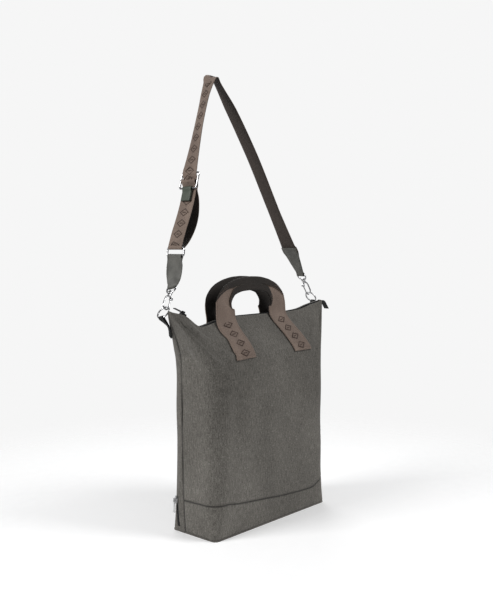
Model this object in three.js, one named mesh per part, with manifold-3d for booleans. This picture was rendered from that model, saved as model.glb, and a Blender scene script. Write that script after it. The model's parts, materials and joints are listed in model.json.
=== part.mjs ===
// Convertible tote backpack, standing on its base. Millimetres, +Z up, front towards -Y.
// The origin is the centre of the base on the surface that it stands on.
import * as THREE from 'three';
import { mergeVertices } from 'three/addons/utils/BufferGeometryUtils.js';
import Module from 'manifold-3d';

const wasm = await Module();
wasm.setup();

// Bag
const baseWidth = 328;
const baseDepth = 114;
const bagHeight = 417;
const clothWall = 2;
const floorWall = 2.4;
const zipMouth = 14;
const bandHeight = 64;
const cornerRadius = 38;
const seamGap = 0.3;
const sewnGap = 0.95;

// Top and side zips
const zipTapeThickness = 1.2;
const zipCoilWidth = 3.2;
const zipCoilHeight = 1.4;
const zipEndTabLength = 36;
const zipEndTabDrop = 17;
const sliderLength = 13;
const sliderWidth = 9;
const sliderHeight = 3.6;
const pullLength = 24;
const pullWidth = 6;
const pullThickness = 1.6;
const sliderPlace = -188;
const sideZipLength = 56;
const sideZipWidth = 7;
const sideZipFoot = 10;
const sliderLift = 0.8;
const bridgeSpan = 6.8;
const bridgeBar = 1.4;
const bridgeRise = 3;
const bridgeThickness = 2.4;
const pullEyeBar = 1.1;

// Carry handles
const handleWebbing = 50;
const handleThickness = 2.2;
const handleFootSpread = 84;
const handleFootHeight = 330;
const handleCrown = 476;
const handleLean = -10;
const frontHandleStand = 11;
const backHandleStand = 18;

// Shoulder strap
const strapWebbing = 38;
const strapThickness = 1.8;
const strapApexHeight = 849;
const strapApexOffset = -70;
const strapApexRadius = 8;
const strapCentreY = 34;
const strapSkew = -0.05;
const rightTabLength = 70;
const tabSeam = 12;
const tabLeather = 1.5;
const tabEndWidth = 22;
const loopLength = 128;
const loopBow = 24;
const sliderRise = 653;
const sliderOffset = -130;
const sliderFrameHeight = 30;
const ringFrameHeight = 15;
const frameWire = 3.6;
const sliderTabWidth = 24;
const sliderTabLength = 24;

// Rings and hooks
const ringOuter = 28;
const ringWire = 3;
const leftRingReach = 211;
const rightRingReach = 220;
const ringStand = 25;
const leftRingHeight = 414;
const rightRingHeight = 423;
const ringTabWidth = 9;
const ringTabThickness = 1.4;
const ringTabFrom = 0.9;
const ringTabTo = 0.945;
const eyeWidth = 25;
const eyeHeight = 14;
const hookWire = 3.2;
const hookLength = 36;
const hookWidth = 17;
const bossRadius = 4.2;
const bossHeight = 5;
const stemRadius = 1.9;
const stemHeadHeight = 1.8;
const shoulderRadius = 3.6;
const shoulderHeight = 5;
const lugHalf = 3;
const forkHalf = 1.6;
const pinRadius = 0.9;
const barrelRadius = 1.7;
const swivelGap = 0.35;
const metalSides = 8;

const finishes = {
  cloth: new THREE.MeshStandardMaterial({ color: '#625e58', roughness: 0.92, metalness: 0 }),
  webbing: new THREE.MeshStandardMaterial({ color: '#6e5a50', roughness: 0.85, metalness: 0 }),
  leather: new THREE.MeshStandardMaterial({ color: '#5a5c55', roughness: 0.6, metalness: 0 }),
  zip: new THREE.MeshStandardMaterial({ color: '#1c1c1d', roughness: 0.6, metalness: 0 }),
  metal: new THREE.MeshStandardMaterial({ color: '#c9cacb', roughness: 0.22, metalness: 1 }),
};

// Basic helpers

const vec = (x, y, z) => new THREE.Vector3(x, y, z);

const mix = (a, b, share) => a + (b - a) * share;

const mixPoint = (a, b, share) => a.clone().lerp(b, share);

function smooth(from, to, value) {
  const share = Math.min(1, Math.max(0, (value - from) / (to - from)));
  return share * share * (3 - 2 * share);
}

function range(count, make) {
  return Array.from({ length: count }, (_, i) => make(i));
}

// Reads one column of a table along another column, as a smooth curve without overshoot
function curveOf(rows, along, column) {
  const at = rows.map((row) => row[along]);
  const value = rows.map((row) => row[column]);
  const slope = range(rows.length - 1, (i) => (value[i + 1] - value[i]) / (at[i + 1] - at[i]));
  const tangent = value.map((_, i) => {
    const before = slope[i - 1] ?? slope[i];
    const after = slope[i] ?? slope[i - 1];
    return before * after <= 0 ? 0 : (2 * before * after) / (before + after);
  });
  return (place) => {
    const end = rows.length - 1;
    if (place <= at[0]) return value[0];
    if (place >= at[end]) return value[end];
    const i = at.findIndex((edge, k) => k < end && place < at[k + 1]);
    const step = at[i + 1] - at[i];
    const s = (place - at[i]) / step;
    const rise = s * s * (3 - 2 * s);
    const ease = s * (1 - s);
    const bend = step * ease * (tangent[i] * (1 - s) - tangent[i + 1] * s);
    return mix(value[i], value[i + 1], rise) + bend;
  };
}

// A closed mesh from vertices and triangles, with its faces turned outwards
function closedMesh(points, triangles) {
  let volume = 0;
  for (const [a, b, c] of triangles) {
    volume += points[a].dot(points[b].clone().cross(points[c]));
  }
  const outward = volume > 0 ? triangles : triangles.map(([a, b, c]) => [a, c, b]);
  const geometry = new THREE.BufferGeometry();
  geometry.setFromPoints(points);
  geometry.setIndex(outward.flat());
  return geometry;
}

// A wall between an outer and an inner grid of points; closed round when wrap is true
function wall(outer, inner, wrap = false) {
  const columns = outer.length;
  const rows = outer[0].length;
  const points = [...outer.flat(), ...inner.flat()];
  const at = (side, i, j) => side * columns * rows + (i % columns) * rows + j;
  const triangles = [];
  const quad = (a, b, c, d) => triangles.push([a, b, c], [a, c, d]);
  const spans = wrap ? columns : columns - 1;
  for (let i = 0; i < spans; i++) {
    for (let j = 0; j < rows - 1; j++) {
      quad(at(0, i, j), at(0, i + 1, j), at(0, i + 1, j + 1), at(0, i, j + 1));
      quad(at(1, i, j), at(1, i, j + 1), at(1, i + 1, j + 1), at(1, i + 1, j));
    }
    quad(at(0, i, 0), at(1, i, 0), at(1, i + 1, 0), at(0, i + 1, 0));
    quad(at(0, i, rows - 1), at(0, i + 1, rows - 1), at(1, i + 1, rows - 1), at(1, i, rows - 1));
  }
  if (!wrap) {
    for (let j = 0; j < rows - 1; j++) {
      quad(at(0, 0, j), at(0, 0, j + 1), at(1, 0, j + 1), at(1, 0, j));
      const last = columns - 1;
      quad(at(0, last, j), at(1, last, j), at(1, last, j + 1), at(0, last, j + 1));
    }
  }
  return closedMesh(points, triangles);
}

// A round wire along a path of points that lies roughly in the plane with the given normal
function wire(path, radius, planeNormal, closed = false, sides = metalSides) {
  const count = path.length;
  const rings = path.map((point, i) => {
    const before = path[closed ? (i + count - 1) % count : Math.max(0, i - 1)];
    const after = path[closed ? (i + 1) % count : Math.min(count - 1, i + 1)];
    const tangent = after.clone().sub(before).normalize();
    const side = tangent.clone().cross(planeNormal).normalize();
    const lift = side.clone().cross(tangent);
    return range(sides, (k) => {
      const angle = (2 * Math.PI * k) / sides;
      return point.clone()
        .addScaledVector(side, radius * Math.cos(angle))
        .addScaledVector(lift, radius * Math.sin(angle));
    });
  });
  const points = rings.flat();
  const triangles = [];
  const at = (i, k) => (i % count) * sides + (k % sides);
  for (let i = 0; i < (closed ? count : count - 1); i++) {
    for (let k = 0; k < sides; k++) {
      triangles.push([at(i, k), at(i + 1, k), at(i + 1, k + 1)]);
      triangles.push([at(i, k), at(i + 1, k + 1), at(i, k + 1)]);
    }
  }
  if (!closed) {
    for (let k = 1; k < sides - 1; k++) {
      triangles.push([at(0, 0), at(0, k), at(0, k + 1)]);
      triangles.push([at(count - 1, 0), at(count - 1, k + 1), at(count - 1, k)]);
    }
  }
  return closedMesh(points, triangles);
}

function arc(centre, radius, from, to, steps, across, up) {
  return range(steps + 1, (i) => {
    const angle = mix(from, to, i / steps);
    return centre.clone()
      .addScaledVector(across, radius * Math.cos(angle))
      .addScaledVector(up, radius * Math.sin(angle));
  });
}

function solid(geometry) {
  const bare = geometry.index ? geometry.toNonIndexed() : geometry.clone();
  const positions = new THREE.BufferGeometry();
  positions.setAttribute('position', bare.getAttribute('position'));
  const merged = mergeVertices(positions, 1e-4);
  return new wasm.Manifold(new wasm.Mesh({
    numProp: 3,
    vertProperties: new Float32Array(merged.attributes.position.array),
    triVerts: new Uint32Array(merged.index.array),
  }));
}

function fromSolid(manifold) {
  const mesh = manifold.getMesh();
  const geometry = new THREE.BufferGeometry();
  const positions = new Float32Array(mesh.vertProperties);
  geometry.setAttribute('position', new THREE.BufferAttribute(positions, 3));
  geometry.setIndex(new THREE.BufferAttribute(new Uint32Array(mesh.triVerts), 1));
  return geometry;
}

const joined = (...geometries) => fromSolid(
  geometries.map(solid).reduce((whole, piece) => whole.add(piece)),
);

const cut = (geometry, ...tools) => fromSolid(
  tools.map(solid).reduce((whole, tool) => whole.subtract(tool), solid(geometry)),
);

// The bag's skin

const profile = [
  { height: 0.00, spread: 0.00, fullness: 1.00, corner: 0.26 },
  { height: 0.08, spread: 0.01, fullness: 1.03, corner: 0.55 },
  { height: 0.28, spread: 0.02, fullness: 1.09, corner: 0.90 },
  { height: 0.52, spread: 0.02, fullness: 1.13, corner: 1.00 },
  { height: 0.70, spread: 0.03, fullness: 1.12, corner: 1.00 },
  { height: 0.79, spread: 0.08, fullness: 1.04, corner: 0.90 },
  { height: 0.86, spread: 0.30, fullness: 0.78, corner: 0.66 },
  { height: 0.93, spread: 0.66, fullness: 0.38, corner: 0.36 },
  { height: 0.97, spread: 0.87, fullness: 0.15, corner: 0.22 },
  { height: 1.00, spread: 1.00, fullness: 0.00, corner: 0.155 },
];

// How far the top edge hangs below the wing tips, from the left tip to the right one
const topSag = [
  { reach: -1.00, drop: 0.000 },
  { reach: -0.86, drop: 0.018 },
  { reach: -0.66, drop: 0.074 },
  { reach: -0.46, drop: 0.056 },
  { reach: -0.25, drop: 0.042 },
  { reach: 0.43, drop: 0.041 },
  { reach: 0.62, drop: 0.036 },
  { reach: 0.81, drop: 0.016 },
  { reach: 1.00, drop: 0.000 },
];

// Creases of the cloth as shares: from and to along the girth and up the height, how wide and how deep.
// In order: the left wing's ridge and valley, the left corner, the right wing, the roll below the left wing.
const folds = [
  { girth: -0.98, height: 0.97, toGirth: -0.60, toHeight: 0.90, width: 0.030, depth: 0.055 },
  { girth: -1.02, height: 0.95, toGirth: -1.00, toHeight: 0.77, width: 0.040, depth: -0.070 },
  { girth: -1.52, height: 0.82, toGirth: -1.34, toHeight: 0.68, width: 0.030, depth: -0.035 },
  { girth: 1.02, height: 0.95, toGirth: 1.00, toHeight: 0.78, width: 0.040, depth: -0.050 },
  { girth: -0.86, height: 0.62, toGirth: -0.92, toHeight: 0.24, width: 0.060, depth: -0.030 },
];

// Height of the seam above the base band, along the girth
const bandSeam = [
  { girth: -1.66, rise: 0.97 },
  { girth: -1.00, rise: 1.00 },
  { girth: -0.75, rise: 0.92 },
  { girth: -0.26, rise: 0.81 },
  { girth: 0.30, rise: 0.69 },
  { girth: 0.81, rise: 0.64 },
  { girth: 0.98, rise: 0.76 },
  { girth: 1.12, rise: 0.90 },
  { girth: 1.34, rise: 0.97 },
  { girth: 1.66, rise: 0.97 },
];

const mouthHalf = zipMouth / 2;
const spreadAt = curveOf(profile, 'height', 'spread');
const fullnessAt = curveOf(profile, 'height', 'fullness');
const cornerAt = curveOf(profile, 'height', 'corner');
const sagAt = curveOf(topSag, 'reach', 'drop');
const seamRiseAt = curveOf(bandSeam, 'girth', 'rise');
const tipReach = baseWidth / 2 + baseDepth / 2;
const sagStart = 0.7;

// The side regions run from face to face; the side strip lies between these shares of them
const stripFrom = 0.66;
const stripTo = 0.92;
const frontSeam = 1 + stripFrom;
const backSeam = 1 + stripTo;
const girthTurn = 6;

function section(height) {
  const halfWidth = baseWidth / 2 + spreadAt(height) * baseDepth / 2;
  const halfDepth = mouthHalf + fullnessAt(height) * (baseDepth / 2 - mouthHalf);
  const corner = Math.min(cornerAt(height) * cornerRadius, halfDepth * 0.85);
  return { halfWidth, halfDepth, corner };
}

// The girth runs from -1 to 1 on the front, to 2 on the right, to 4 on the back and to 5 on the left
function outline(girth, height) {
  const { halfWidth, halfDepth, corner } = section(height);
  const flatWidth = halfWidth - corner;
  const flatDepth = 2 * (halfDepth - corner);
  const turn = (Math.PI / 2) * corner;
  const g = girth < -1 ? girth + girthTurn : girth;
  if (g <= 1) return vec(g * flatWidth, -halfDepth, 0);
  if (g >= 2 && g <= 4) return vec((3 - g) * flatWidth, halfDepth, 0);
  const right = g < 2;
  const side = right ? 1 : -1;
  const share = right ? g - 1 : 5 - g;
  const along = share * (2 * turn + flatDepth);
  if (along < turn) {
    const angle = along / corner;
    const depth = -halfDepth + corner - corner * Math.cos(angle);
    return vec(side * (flatWidth + corner * Math.sin(angle)), depth, 0);
  }
  if (along < turn + flatDepth) {
    return vec(side * halfWidth, -halfDepth + corner + along - turn, 0);
  }
  const angle = (along - turn - flatDepth) / corner;
  const depth = halfDepth - corner + corner * Math.sin(angle);
  return vec(side * (flatWidth + corner * Math.cos(angle)), depth, 0);
}

function foldDepth(girth, height) {
  const x = girth * baseWidth / 2;
  const z = height * bagHeight;
  let depth = 0;
  for (const fold of folds) {
    const fromX = fold.girth * baseWidth / 2;
    const fromZ = fold.height * bagHeight;
    const runX = fold.toGirth * baseWidth / 2 - fromX;
    const runZ = fold.toHeight * bagHeight - fromZ;
    const share = ((x - fromX) * runX + (z - fromZ) * runZ) / (runX ** 2 + runZ ** 2);
    const held = Math.min(1, Math.max(0, share));
    const away = Math.hypot(x - fromX - held * runX, z - fromZ - held * runZ);
    const fade = Math.exp(-((away / (fold.width * bagHeight)) ** 2));
    depth += fold.depth * baseDepth * fade * (1 - 0.5 * held);
  }
  return depth * (1 - smooth(0.93, 1, height)) * smooth(0.12, 0.2, height);
}

function smoothSkin(girth, height) {
  const point = outline(girth, height);
  const sag = sagAt(point.x / tipReach) * bagHeight * smooth(sagStart, 1, height);
  point.z = height * bagHeight - sag;
  return point;
}

const probe = 1e-3;

function outwardAt(surface, girth, height) {
  const low = Math.max(0, height - probe);
  const high = Math.min(1, height + probe);
  const along = surface(girth + probe, height).sub(surface(girth - probe, height));
  const up = surface(girth, high).sub(surface(girth, low));
  return along.cross(up).normalize();
}

function skin(girth, height) {
  const depth = foldDepth(girth, height);
  const point = smoothSkin(girth, height);
  if (Math.abs(depth) < 0.01) return point;
  return point.addScaledVector(outwardAt(smoothSkin, girth, height), depth);
}

const bandSeamHeight = (girth) => (seamRiseAt(girth) * bandHeight) / bagHeight;

// Moves a panel's edge back from the seam line by half of the seam's gap
function besideSeam(girth, height, direction) {
  const step = skin(girth + probe, height).distanceTo(skin(girth - probe, height)) / (2 * probe);
  return girth + (direction * seamGap) / 2 / step;
}

const panelRows = [0, 0.1, 0.26, 0.42, 0.55, 0.64, 0.71, 0.77, 0.82, 0.86, 0.9, 0.935, 0.965, 1];

// A cloth panel between two seams; heightsAt gives the height shares of its rows at a girth
function panel(stops, heightsAt) {
  const last = stops.length - 1;
  const grid = stops.map((stop, i) => heightsAt(stop).map((height) => {
    const direction = Number(i === 0) - Number(i === last);
    return { girth: besideSeam(stop, height, direction), height };
  }));
  const outer = grid.map((column) => column.map(({ girth, height }) => skin(girth, height)));
  const inner = grid.map((column, i) => column.map(({ girth, height }, j) => (
    outer[i][j].clone().addScaledVector(outwardAt(skin, girth, height), -clothWall)
  )));
  return wall(outer, inner);
}

function stopsBetween(...spans) {
  const stops = [spans[0].from];
  for (const { from, to, steps } of spans) {
    for (let i = 1; i <= steps; i++) stops.push(mix(from, to, i / steps));
  }
  return stops;
}

const frontStops = stopsBetween(
  { from: -frontSeam, to: -1, steps: 7 },
  { from: -1, to: 1, steps: 18 },
  { from: 1, to: frontSeam, steps: 6 },
);
const backStops = stopsBetween(
  { from: backSeam, to: 2, steps: 1 },
  { from: 2, to: 4, steps: 14 },
  { from: 4, to: girthTurn - backSeam, steps: 1 },
);
const leftStops = stopsBetween({ from: girthTurn - backSeam, to: girthTurn - frontSeam, steps: 3 });
const rightStops = stopsBetween({ from: frontSeam, to: backSeam, steps: 3 });

const aboveFloor = (floorWall + seamGap) / bagHeight;
const halfSeam = seamGap / 2 / bagHeight;

const meshes = {};

function add(name, geometry, finish) {
  const mesh = new THREE.Mesh(geometry, finishes[finish]);
  mesh.name = name;
  meshes[name] = mesh;
  return mesh;
}

const aboveBand = (girth) => panelRows.map((share) => mix(bandSeamHeight(girth) + halfSeam, 1, share));
const withinBand = (girth) => [0, 0.5, 1].map((share) => (
  mix(aboveFloor, bandSeamHeight(girth) - halfSeam, share)
));
const fullHeight = () => [...withinBand(frontSeam), ...aboveBand(frontSeam)];

add('front_panel', panel(frontStops, aboveBand), 'cloth');
add('base_band', panel(frontStops, withinBand), 'cloth');
add('back_panel', panel(backStops, fullHeight), 'cloth');
add('side_strip_right', panel(rightStops, fullHeight), 'cloth');

// The floor panel closes the bag below and is what it stands on
function floorPanel() {
  const girths = [...frontStops, ...stopsBetween({ from: frontSeam, to: 2, steps: 3 }).slice(1), 4,
    ...stopsBetween({ from: 4, to: girthTurn - frontSeam, steps: 3 }).slice(1, -1)];
  const edge = girths.map((girth) => outline(girth, 0));
  const shape = new THREE.Shape(edge.map((point) => new THREE.Vector2(point.x, point.y)));
  return new THREE.ExtrudeGeometry(shape, { depth: floorWall, bevelEnabled: false });
}

add('base_floor', floorPanel(), 'cloth');

// Side zip, set into the lower end of the left strip

const zipGirth = girthTurn - (frontSeam + backSeam) / 2;

function frameAt(origin, xAxis, zAxis) {
  const z = zAxis.clone().normalize();
  const x = xAxis.clone().addScaledVector(z, -xAxis.dot(z)).normalize();
  const y = z.clone().cross(x);
  return { origin, x, y, z, matrix: new THREE.Matrix4().makeBasis(x, y, z).setPosition(origin) };
}

function place(mesh, frame) {
  frame.matrix.decompose(mesh.position, mesh.quaternion, mesh.scale);
  return mesh;
}

// A strip of the skin beside a line up the girth, with its outer face raised by the given lift
function skinStrip(girth, fromZ, toZ, width, thickness, lift, steps = 6) {
  const outer = [];
  const inner = [];
  for (let i = 0; i <= steps; i++) {
    const height = mix(fromZ, toZ, i / steps) / bagHeight;
    const centre = skin(girth, height);
    const outward = outwardAt(skin, girth, height);
    const across = vec(0, 0, 1).cross(outward).normalize();
    const side = (share, depth) => centre.clone()
      .addScaledVector(across, share * width)
      .addScaledVector(outward, depth);
    outer.push([side(-0.5, lift), side(0.5, lift)]);
    inner.push([side(-0.5, lift - thickness), side(0.5, lift - thickness)]);
  }
  return wall(outer, inner);
}

const sideZipTop = sideZipFoot + sideZipLength;
const slotCut = skinStrip(zipGirth, sideZipFoot, sideZipTop, sideZipWidth, 4 * clothWall, 2 * clothWall);
add('side_strip_left', cut(panel(leftStops, fullHeight), slotCut), 'cloth');
add('side_zip_tape', skinStrip(
  zipGirth,
  sideZipFoot + seamGap,
  sideZipTop - seamGap,
  sideZipWidth - 2 * seamGap,
  zipTapeThickness,
  (zipTapeThickness - clothWall) / 2,
), 'zip');

// Zip slider and pull, in a frame with x along the zip, z off the tape and the pull lying towards -x

const pullPivotRise = sliderHeight + seamGap + bridgeRise / 2;

function box(fromX, toX, fromY, toY, fromZ, toZ) {
  const geometry = new THREE.BoxGeometry(toX - fromX, toY - fromY, toZ - fromZ);
  return geometry.translate((fromX + toX) / 2, (fromY + toY) / 2, (fromZ + toZ) / 2);
}

function zipSlider() {
  const half = sliderLength / 2;
  const shape = new THREE.Shape();
  shape.moveTo(-half, -sliderWidth * 0.3);
  shape.lineTo(half * 0.4, -sliderWidth / 2);
  shape.lineTo(half, -sliderWidth * 0.36);
  shape.lineTo(half, sliderWidth * 0.36);
  shape.lineTo(half * 0.4, sliderWidth / 2);
  shape.lineTo(-half, sliderWidth * 0.3);
  shape.closePath();
  const body = new THREE.ExtrudeGeometry(shape, { depth: sliderHeight, bevelEnabled: false });
  body.translate(0, 0, seamGap);
  const top = seamGap + sliderHeight;
  const bridge = box(
    -bridgeSpan / 2, bridgeSpan / 2, -bridgeThickness / 2, bridgeThickness / 2,
    top - bridgeBar, top + bridgeRise + bridgeBar,
  );
  const opening = box(
    -bridgeSpan / 2 + bridgeBar, bridgeSpan / 2 - bridgeBar, -bridgeThickness, bridgeThickness,
    top, top + bridgeRise,
  );
  return joined(body, cut(bridge, opening));
}

// The pull is drawn about its pivot, which is the middle of its cross bar
function zipPull() {
  const window = bridgeThickness / 2 + 2 * seamGap;
  const reach = bridgeSpan / 2 + bridgeRise / 2 + bridgeBar;
  const plate = box(
    -pullLength, pullEyeBar, -pullWidth / 2, pullWidth / 2, -pullThickness / 2, pullThickness / 2,
  );
  const eye = box(-reach, -pullEyeBar, -window, window, -pullThickness, pullThickness);
  return cut(plate, eye);
}

function addZipSlider(name, frame) {
  const slider = place(add(name + '_slider', zipSlider(), 'metal'), frame);
  const pull = add(name + '_pull', zipPull(), 'metal');
  place(pull, frame);
  pull.position.addScaledVector(frame.z, pullPivotRise);
  return [slider, pull];
}

const sideSliderHeight = (sideZipTop - sliderLength / 2) / bagHeight;
const sideSliderFrame = frameAt(
  skin(zipGirth, sideSliderHeight),
  vec(0, 0, 1),
  outwardAt(skin, zipGirth, sideSliderHeight),
);
addZipSlider('side_zip', sideSliderFrame);

// Top zip, lying in the mouth between the front and back panels

const mouthReach = 0.965;

function mouthEdge(share, front) {
  const girth = front ? share : 3 - share;
  return skin(girth, 1).addScaledVector(outwardAt(skin, girth, 1), -clothWall);
}

const mouthLength = tipReach - section(1).corner;
const coilFrom = (sliderPlace + sliderLength / 2 + seamGap) / mouthLength;
const coilStops = stopsBetween({ from: coilFrom, to: mouthReach, steps: 26 });
const tapeStops = [...stopsBetween({ from: -mouthReach, to: coilFrom, steps: 4 }).slice(0, -1), ...coilStops];

function topTape() {
  const outer = [];
  const inner = [];
  for (const share of tapeStops) {
    const front = mouthEdge(share, true).add(vec(0, seamGap, 0));
    const back = mouthEdge(share, false).add(vec(0, -seamGap, 0));
    const down = vec(0, 0, -zipTapeThickness);
    outer.push([front, back]);
    inner.push([front.clone().add(down), back.clone().add(down)]);
  }
  return wall(outer, inner);
}

add('top_zip_tape', topTape(), 'zip');

const mouthLine = (x) => vec(x, 0, mouthEdge(x / mouthLength, true).z);

function zipCoil() {
  const outer = [];
  const inner = [];
  for (const share of coilStops) {
    const base = mouthLine(mouthEdge(share, true).x).add(vec(0, 0, seamGap));
    const corner = (side, lift) => base.clone().add(vec(0, (side * zipCoilWidth) / 2, lift));
    outer.push([corner(-1, zipCoilHeight), corner(1, zipCoilHeight)]);
    inner.push([corner(-1, 0), corner(1, 0)]);
  }
  return wall(outer, inner);
}

add('top_zip_coil', zipCoil(), 'zip');

const sliderSlope = mouthLine(sliderPlace + sliderLength / 2).sub(mouthLine(sliderPlace - sliderLength / 2));
const topSliderFrame = frameAt(
  mouthLine(sliderPlace).add(vec(0, 0, sliderLift)),
  sliderSlope,
  vec(-sliderSlope.z, 0, sliderSlope.x),
);
addZipSlider('top_zip', topSliderFrame);

// Carry handles: webbing sewn to the faces, folded in half along its length over the hand

// From the top edge up to the crown; crease is how much of the inner half still lies open
const handleRise = [
  { name: 'edge', rise: 0.14, spread: 0.89, crease: 1.0 },
  { name: 'stitch', rise: 0.44, spread: 0.89, crease: 1.0 },
  { name: 'turn', rise: 0.72, spread: 0.83, crease: 0.55 },
  { name: 'corner', rise: 0.90, spread: 0.66, crease: 0.10 },
  { name: 'shoulder', rise: 0.98, spread: 0.38, crease: 0.0 },
  { name: 'crown', rise: 1.0, spread: 0.0, crease: 0.0 },
];
const legSteps = 8;
const archSteps = 14;

function handle(back, stand) {
  const half = handleWebbing / 2;
  const facing = back ? 1 : -1;
  const spine = handleCrown - half - handleThickness;
  const topZ = mouthLine(0).z;
  const rise = (row) => mix(topZ, spine, row.rise);
  const archPoints = handleRise.map((row) => (
    vec(row.spread * handleFootSpread, facing * stand, rise(row))
  ));
  const rows = handleRise.map((row, i) => ({ ...row, place: i / (handleRise.length - 1) }));
  const creaseAt = curveOf(rows, 'place', 'crease');
  const leanAt = (z) => handleLean * smooth(handleFootHeight, spine, z);
  const legEnd = handleRise[0].spread * handleFootSpread;
  const acrossShares = [-1, -0.4, 0.3, 1];
  const stations = [];

  for (let i = 0; i <= legSteps; i++) {
    const share = i / legSteps;
    const height = mix(handleFootHeight / bagHeight, 1, share);
    const flat = section(height).halfWidth - section(height).corner;
    stations.push((side) => acrossShares.map((shareAcross) => {
      const x = side * (mix(handleFootSpread, legEnd, share) - shareAcross * half);
      const lean = leanAt(height * bagHeight);
      const girth = back ? 3 - (x + lean) / flat : (x + lean) / flat;
      const outward = outwardAt(skin, girth, height);
      const point = skin(girth, height).addScaledVector(outward, sewnGap);
      return { back: point, outward, thickness: handleThickness };
    }));
  }
  const curve = new THREE.CatmullRomCurve3(archPoints, false, 'centripetal');
  for (let i = 0; i <= archSteps; i++) {
    const share = i / archSteps;
    const centre = curve.getPoint(share);
    const tangent = curve.getTangent(share);
    const crease = creaseAt(share);
    stations.push((side) => acrossShares.map((shareAcross) => {
      const inward = vec(-tangent.z, 0, tangent.x).normalize();
      const open = shareAcross > 0 ? shareAcross * crease : shareAcross;
      const point = centre.clone().addScaledVector(inward, open * half);
      point.x = side * point.x + leanAt(centre.z);
      const outward = vec(0, facing, 0);
      const thickness = handleThickness * (2 - crease);
      point.addScaledVector(outward, -thickness / 2);
      return { back: point, outward, thickness };
    }));
  }
  const left = stations.map((station) => station(-1));
  const right = stations.slice(0, -1).map((station) => station(1)).reverse();
  const columns = [...left, ...right];
  const inner = columns.map((column) => column.map((place) => place.back));
  const outer = columns.map((column) => column.map((place) => (
    place.back.clone().addScaledVector(place.outward, place.thickness)
  )));
  return wall(outer, inner);
}

add('handle_front', handle(false, frontHandleStand), 'webbing');
add('handle_back', handle(true, backHandleStand), 'webbing');

// Bands of webbing or leather that follow a path; widths run along the given directions

function band(path, directions, widths, thickness, closed = false) {
  const count = path.length;
  const outer = [];
  const inner = [];
  path.forEach((point, i) => {
    const before = path[closed ? (i + count - 1) % count : Math.max(0, i - 1)];
    const after = path[closed ? (i + 1) % count : Math.min(count - 1, i + 1)];
    const tangent = after.clone().sub(before).normalize();
    const across = directions[i].clone().normalize();
    const normal = tangent.clone().cross(across).normalize();
    const at = (side, depth) => point.clone()
      .addScaledVector(across, (side * widths[i]) / 2)
      .addScaledVector(normal, (depth * thickness) / 2);
    outer.push([at(-1, 1), at(1, 1)]);
    inner.push([at(-1, -1), at(1, -1)]);
  });
  return wall(outer, inner, closed);
}

// Strap frame: a vertical plane nearly along X

const strapPoint = (x, z) => vec(x, strapCentreY + strapSkew * x, z);
const strapAcross = vec(strapSkew, -1, 0).normalize();

// Rings at the wing tips with their hooks; each hanger leans from its ring towards the strap

const hangers = {
  left: { ring: vec(-leftRingReach, ringStand, leftRingHeight), lean: vec(0.63, 0.29, 0.72), turn: 1 },
  right: { ring: vec(rightRingReach, ringStand, rightRingHeight), lean: vec(-0.586, 0, 0.81), turn: -1 },
};
const ringRadius = (ringOuter - ringWire) / 2;
const hookTop = -(eyeHeight + bossHeight / 2 + swivelGap);
const hookFoot = hookTop - hookLength;
const ringTop = hookFoot + hookWire + swivelGap + ringWire / 2;
const hangerLength = ringRadius - ringTop;
const limb = (hookWidth - hookWire) / 2;

for (const hanger of Object.values(hangers)) {
  const up = hanger.lean.clone().normalize();
  const bar = strapAcross.clone().multiplyScalar(hanger.turn);
  bar.addScaledVector(up, -bar.dot(up)).normalize();
  hanger.eye = hanger.ring.clone().addScaledVector(up, hangerLength);
  hanger.frame = frameAt(hanger.eye, bar.clone().cross(up), up);
  hanger.bar = bar;
  hanger.up = up;
}

const alongX = vec(1, 0, 0);
const alongY = vec(0, 1, 0);
const alongZ = vec(0, 0, 1);

function rod(radius, from, to, sides = 12) {
  const geometry = new THREE.CylinderGeometry(radius, radius, to - from, sides);
  return geometry.rotateX(Math.PI / 2).translate(0, 0, (from + to) / 2);
}

function crossRod(radius, width, x, z, sides = 12) {
  return new THREE.CylinderGeometry(radius, radius, width, sides).translate(x, 0, z);
}

// The D-shaped eye: a straight bar for the leather, and a boss that the hook turns in
function swivelEye() {
  const radius = hookWire / 2;
  const barHalf = eyeWidth / 2 - radius;
  const path = [
    ...range(6, (i) => vec(0, mix(-barHalf * 0.9, barHalf * 0.9, i / 5), 0)),
    ...range(13, (i) => {
      const angle = mix(0.12, Math.PI - 0.12, i / 12);
      return vec(0, barHalf * Math.cos(angle), -eyeHeight * Math.sin(angle) ** 0.8);
    }),
  ];
  const bossTop = -eyeHeight + bossHeight / 2;
  const bossFoot = -eyeHeight - bossHeight / 2;
  const whole = joined(wire(path, radius, alongX, true), rod(bossRadius, bossFoot, bossTop));
  return cut(whole, rod(stemRadius + swivelGap, bossFoot - 1, bossTop + 1));
}

const pivotX = -limb;
const pivotZ = hookTop - shoulderHeight - 2.5;
const noseZ = hookFoot + hookWire / 2 + limb + 2.5;

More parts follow.
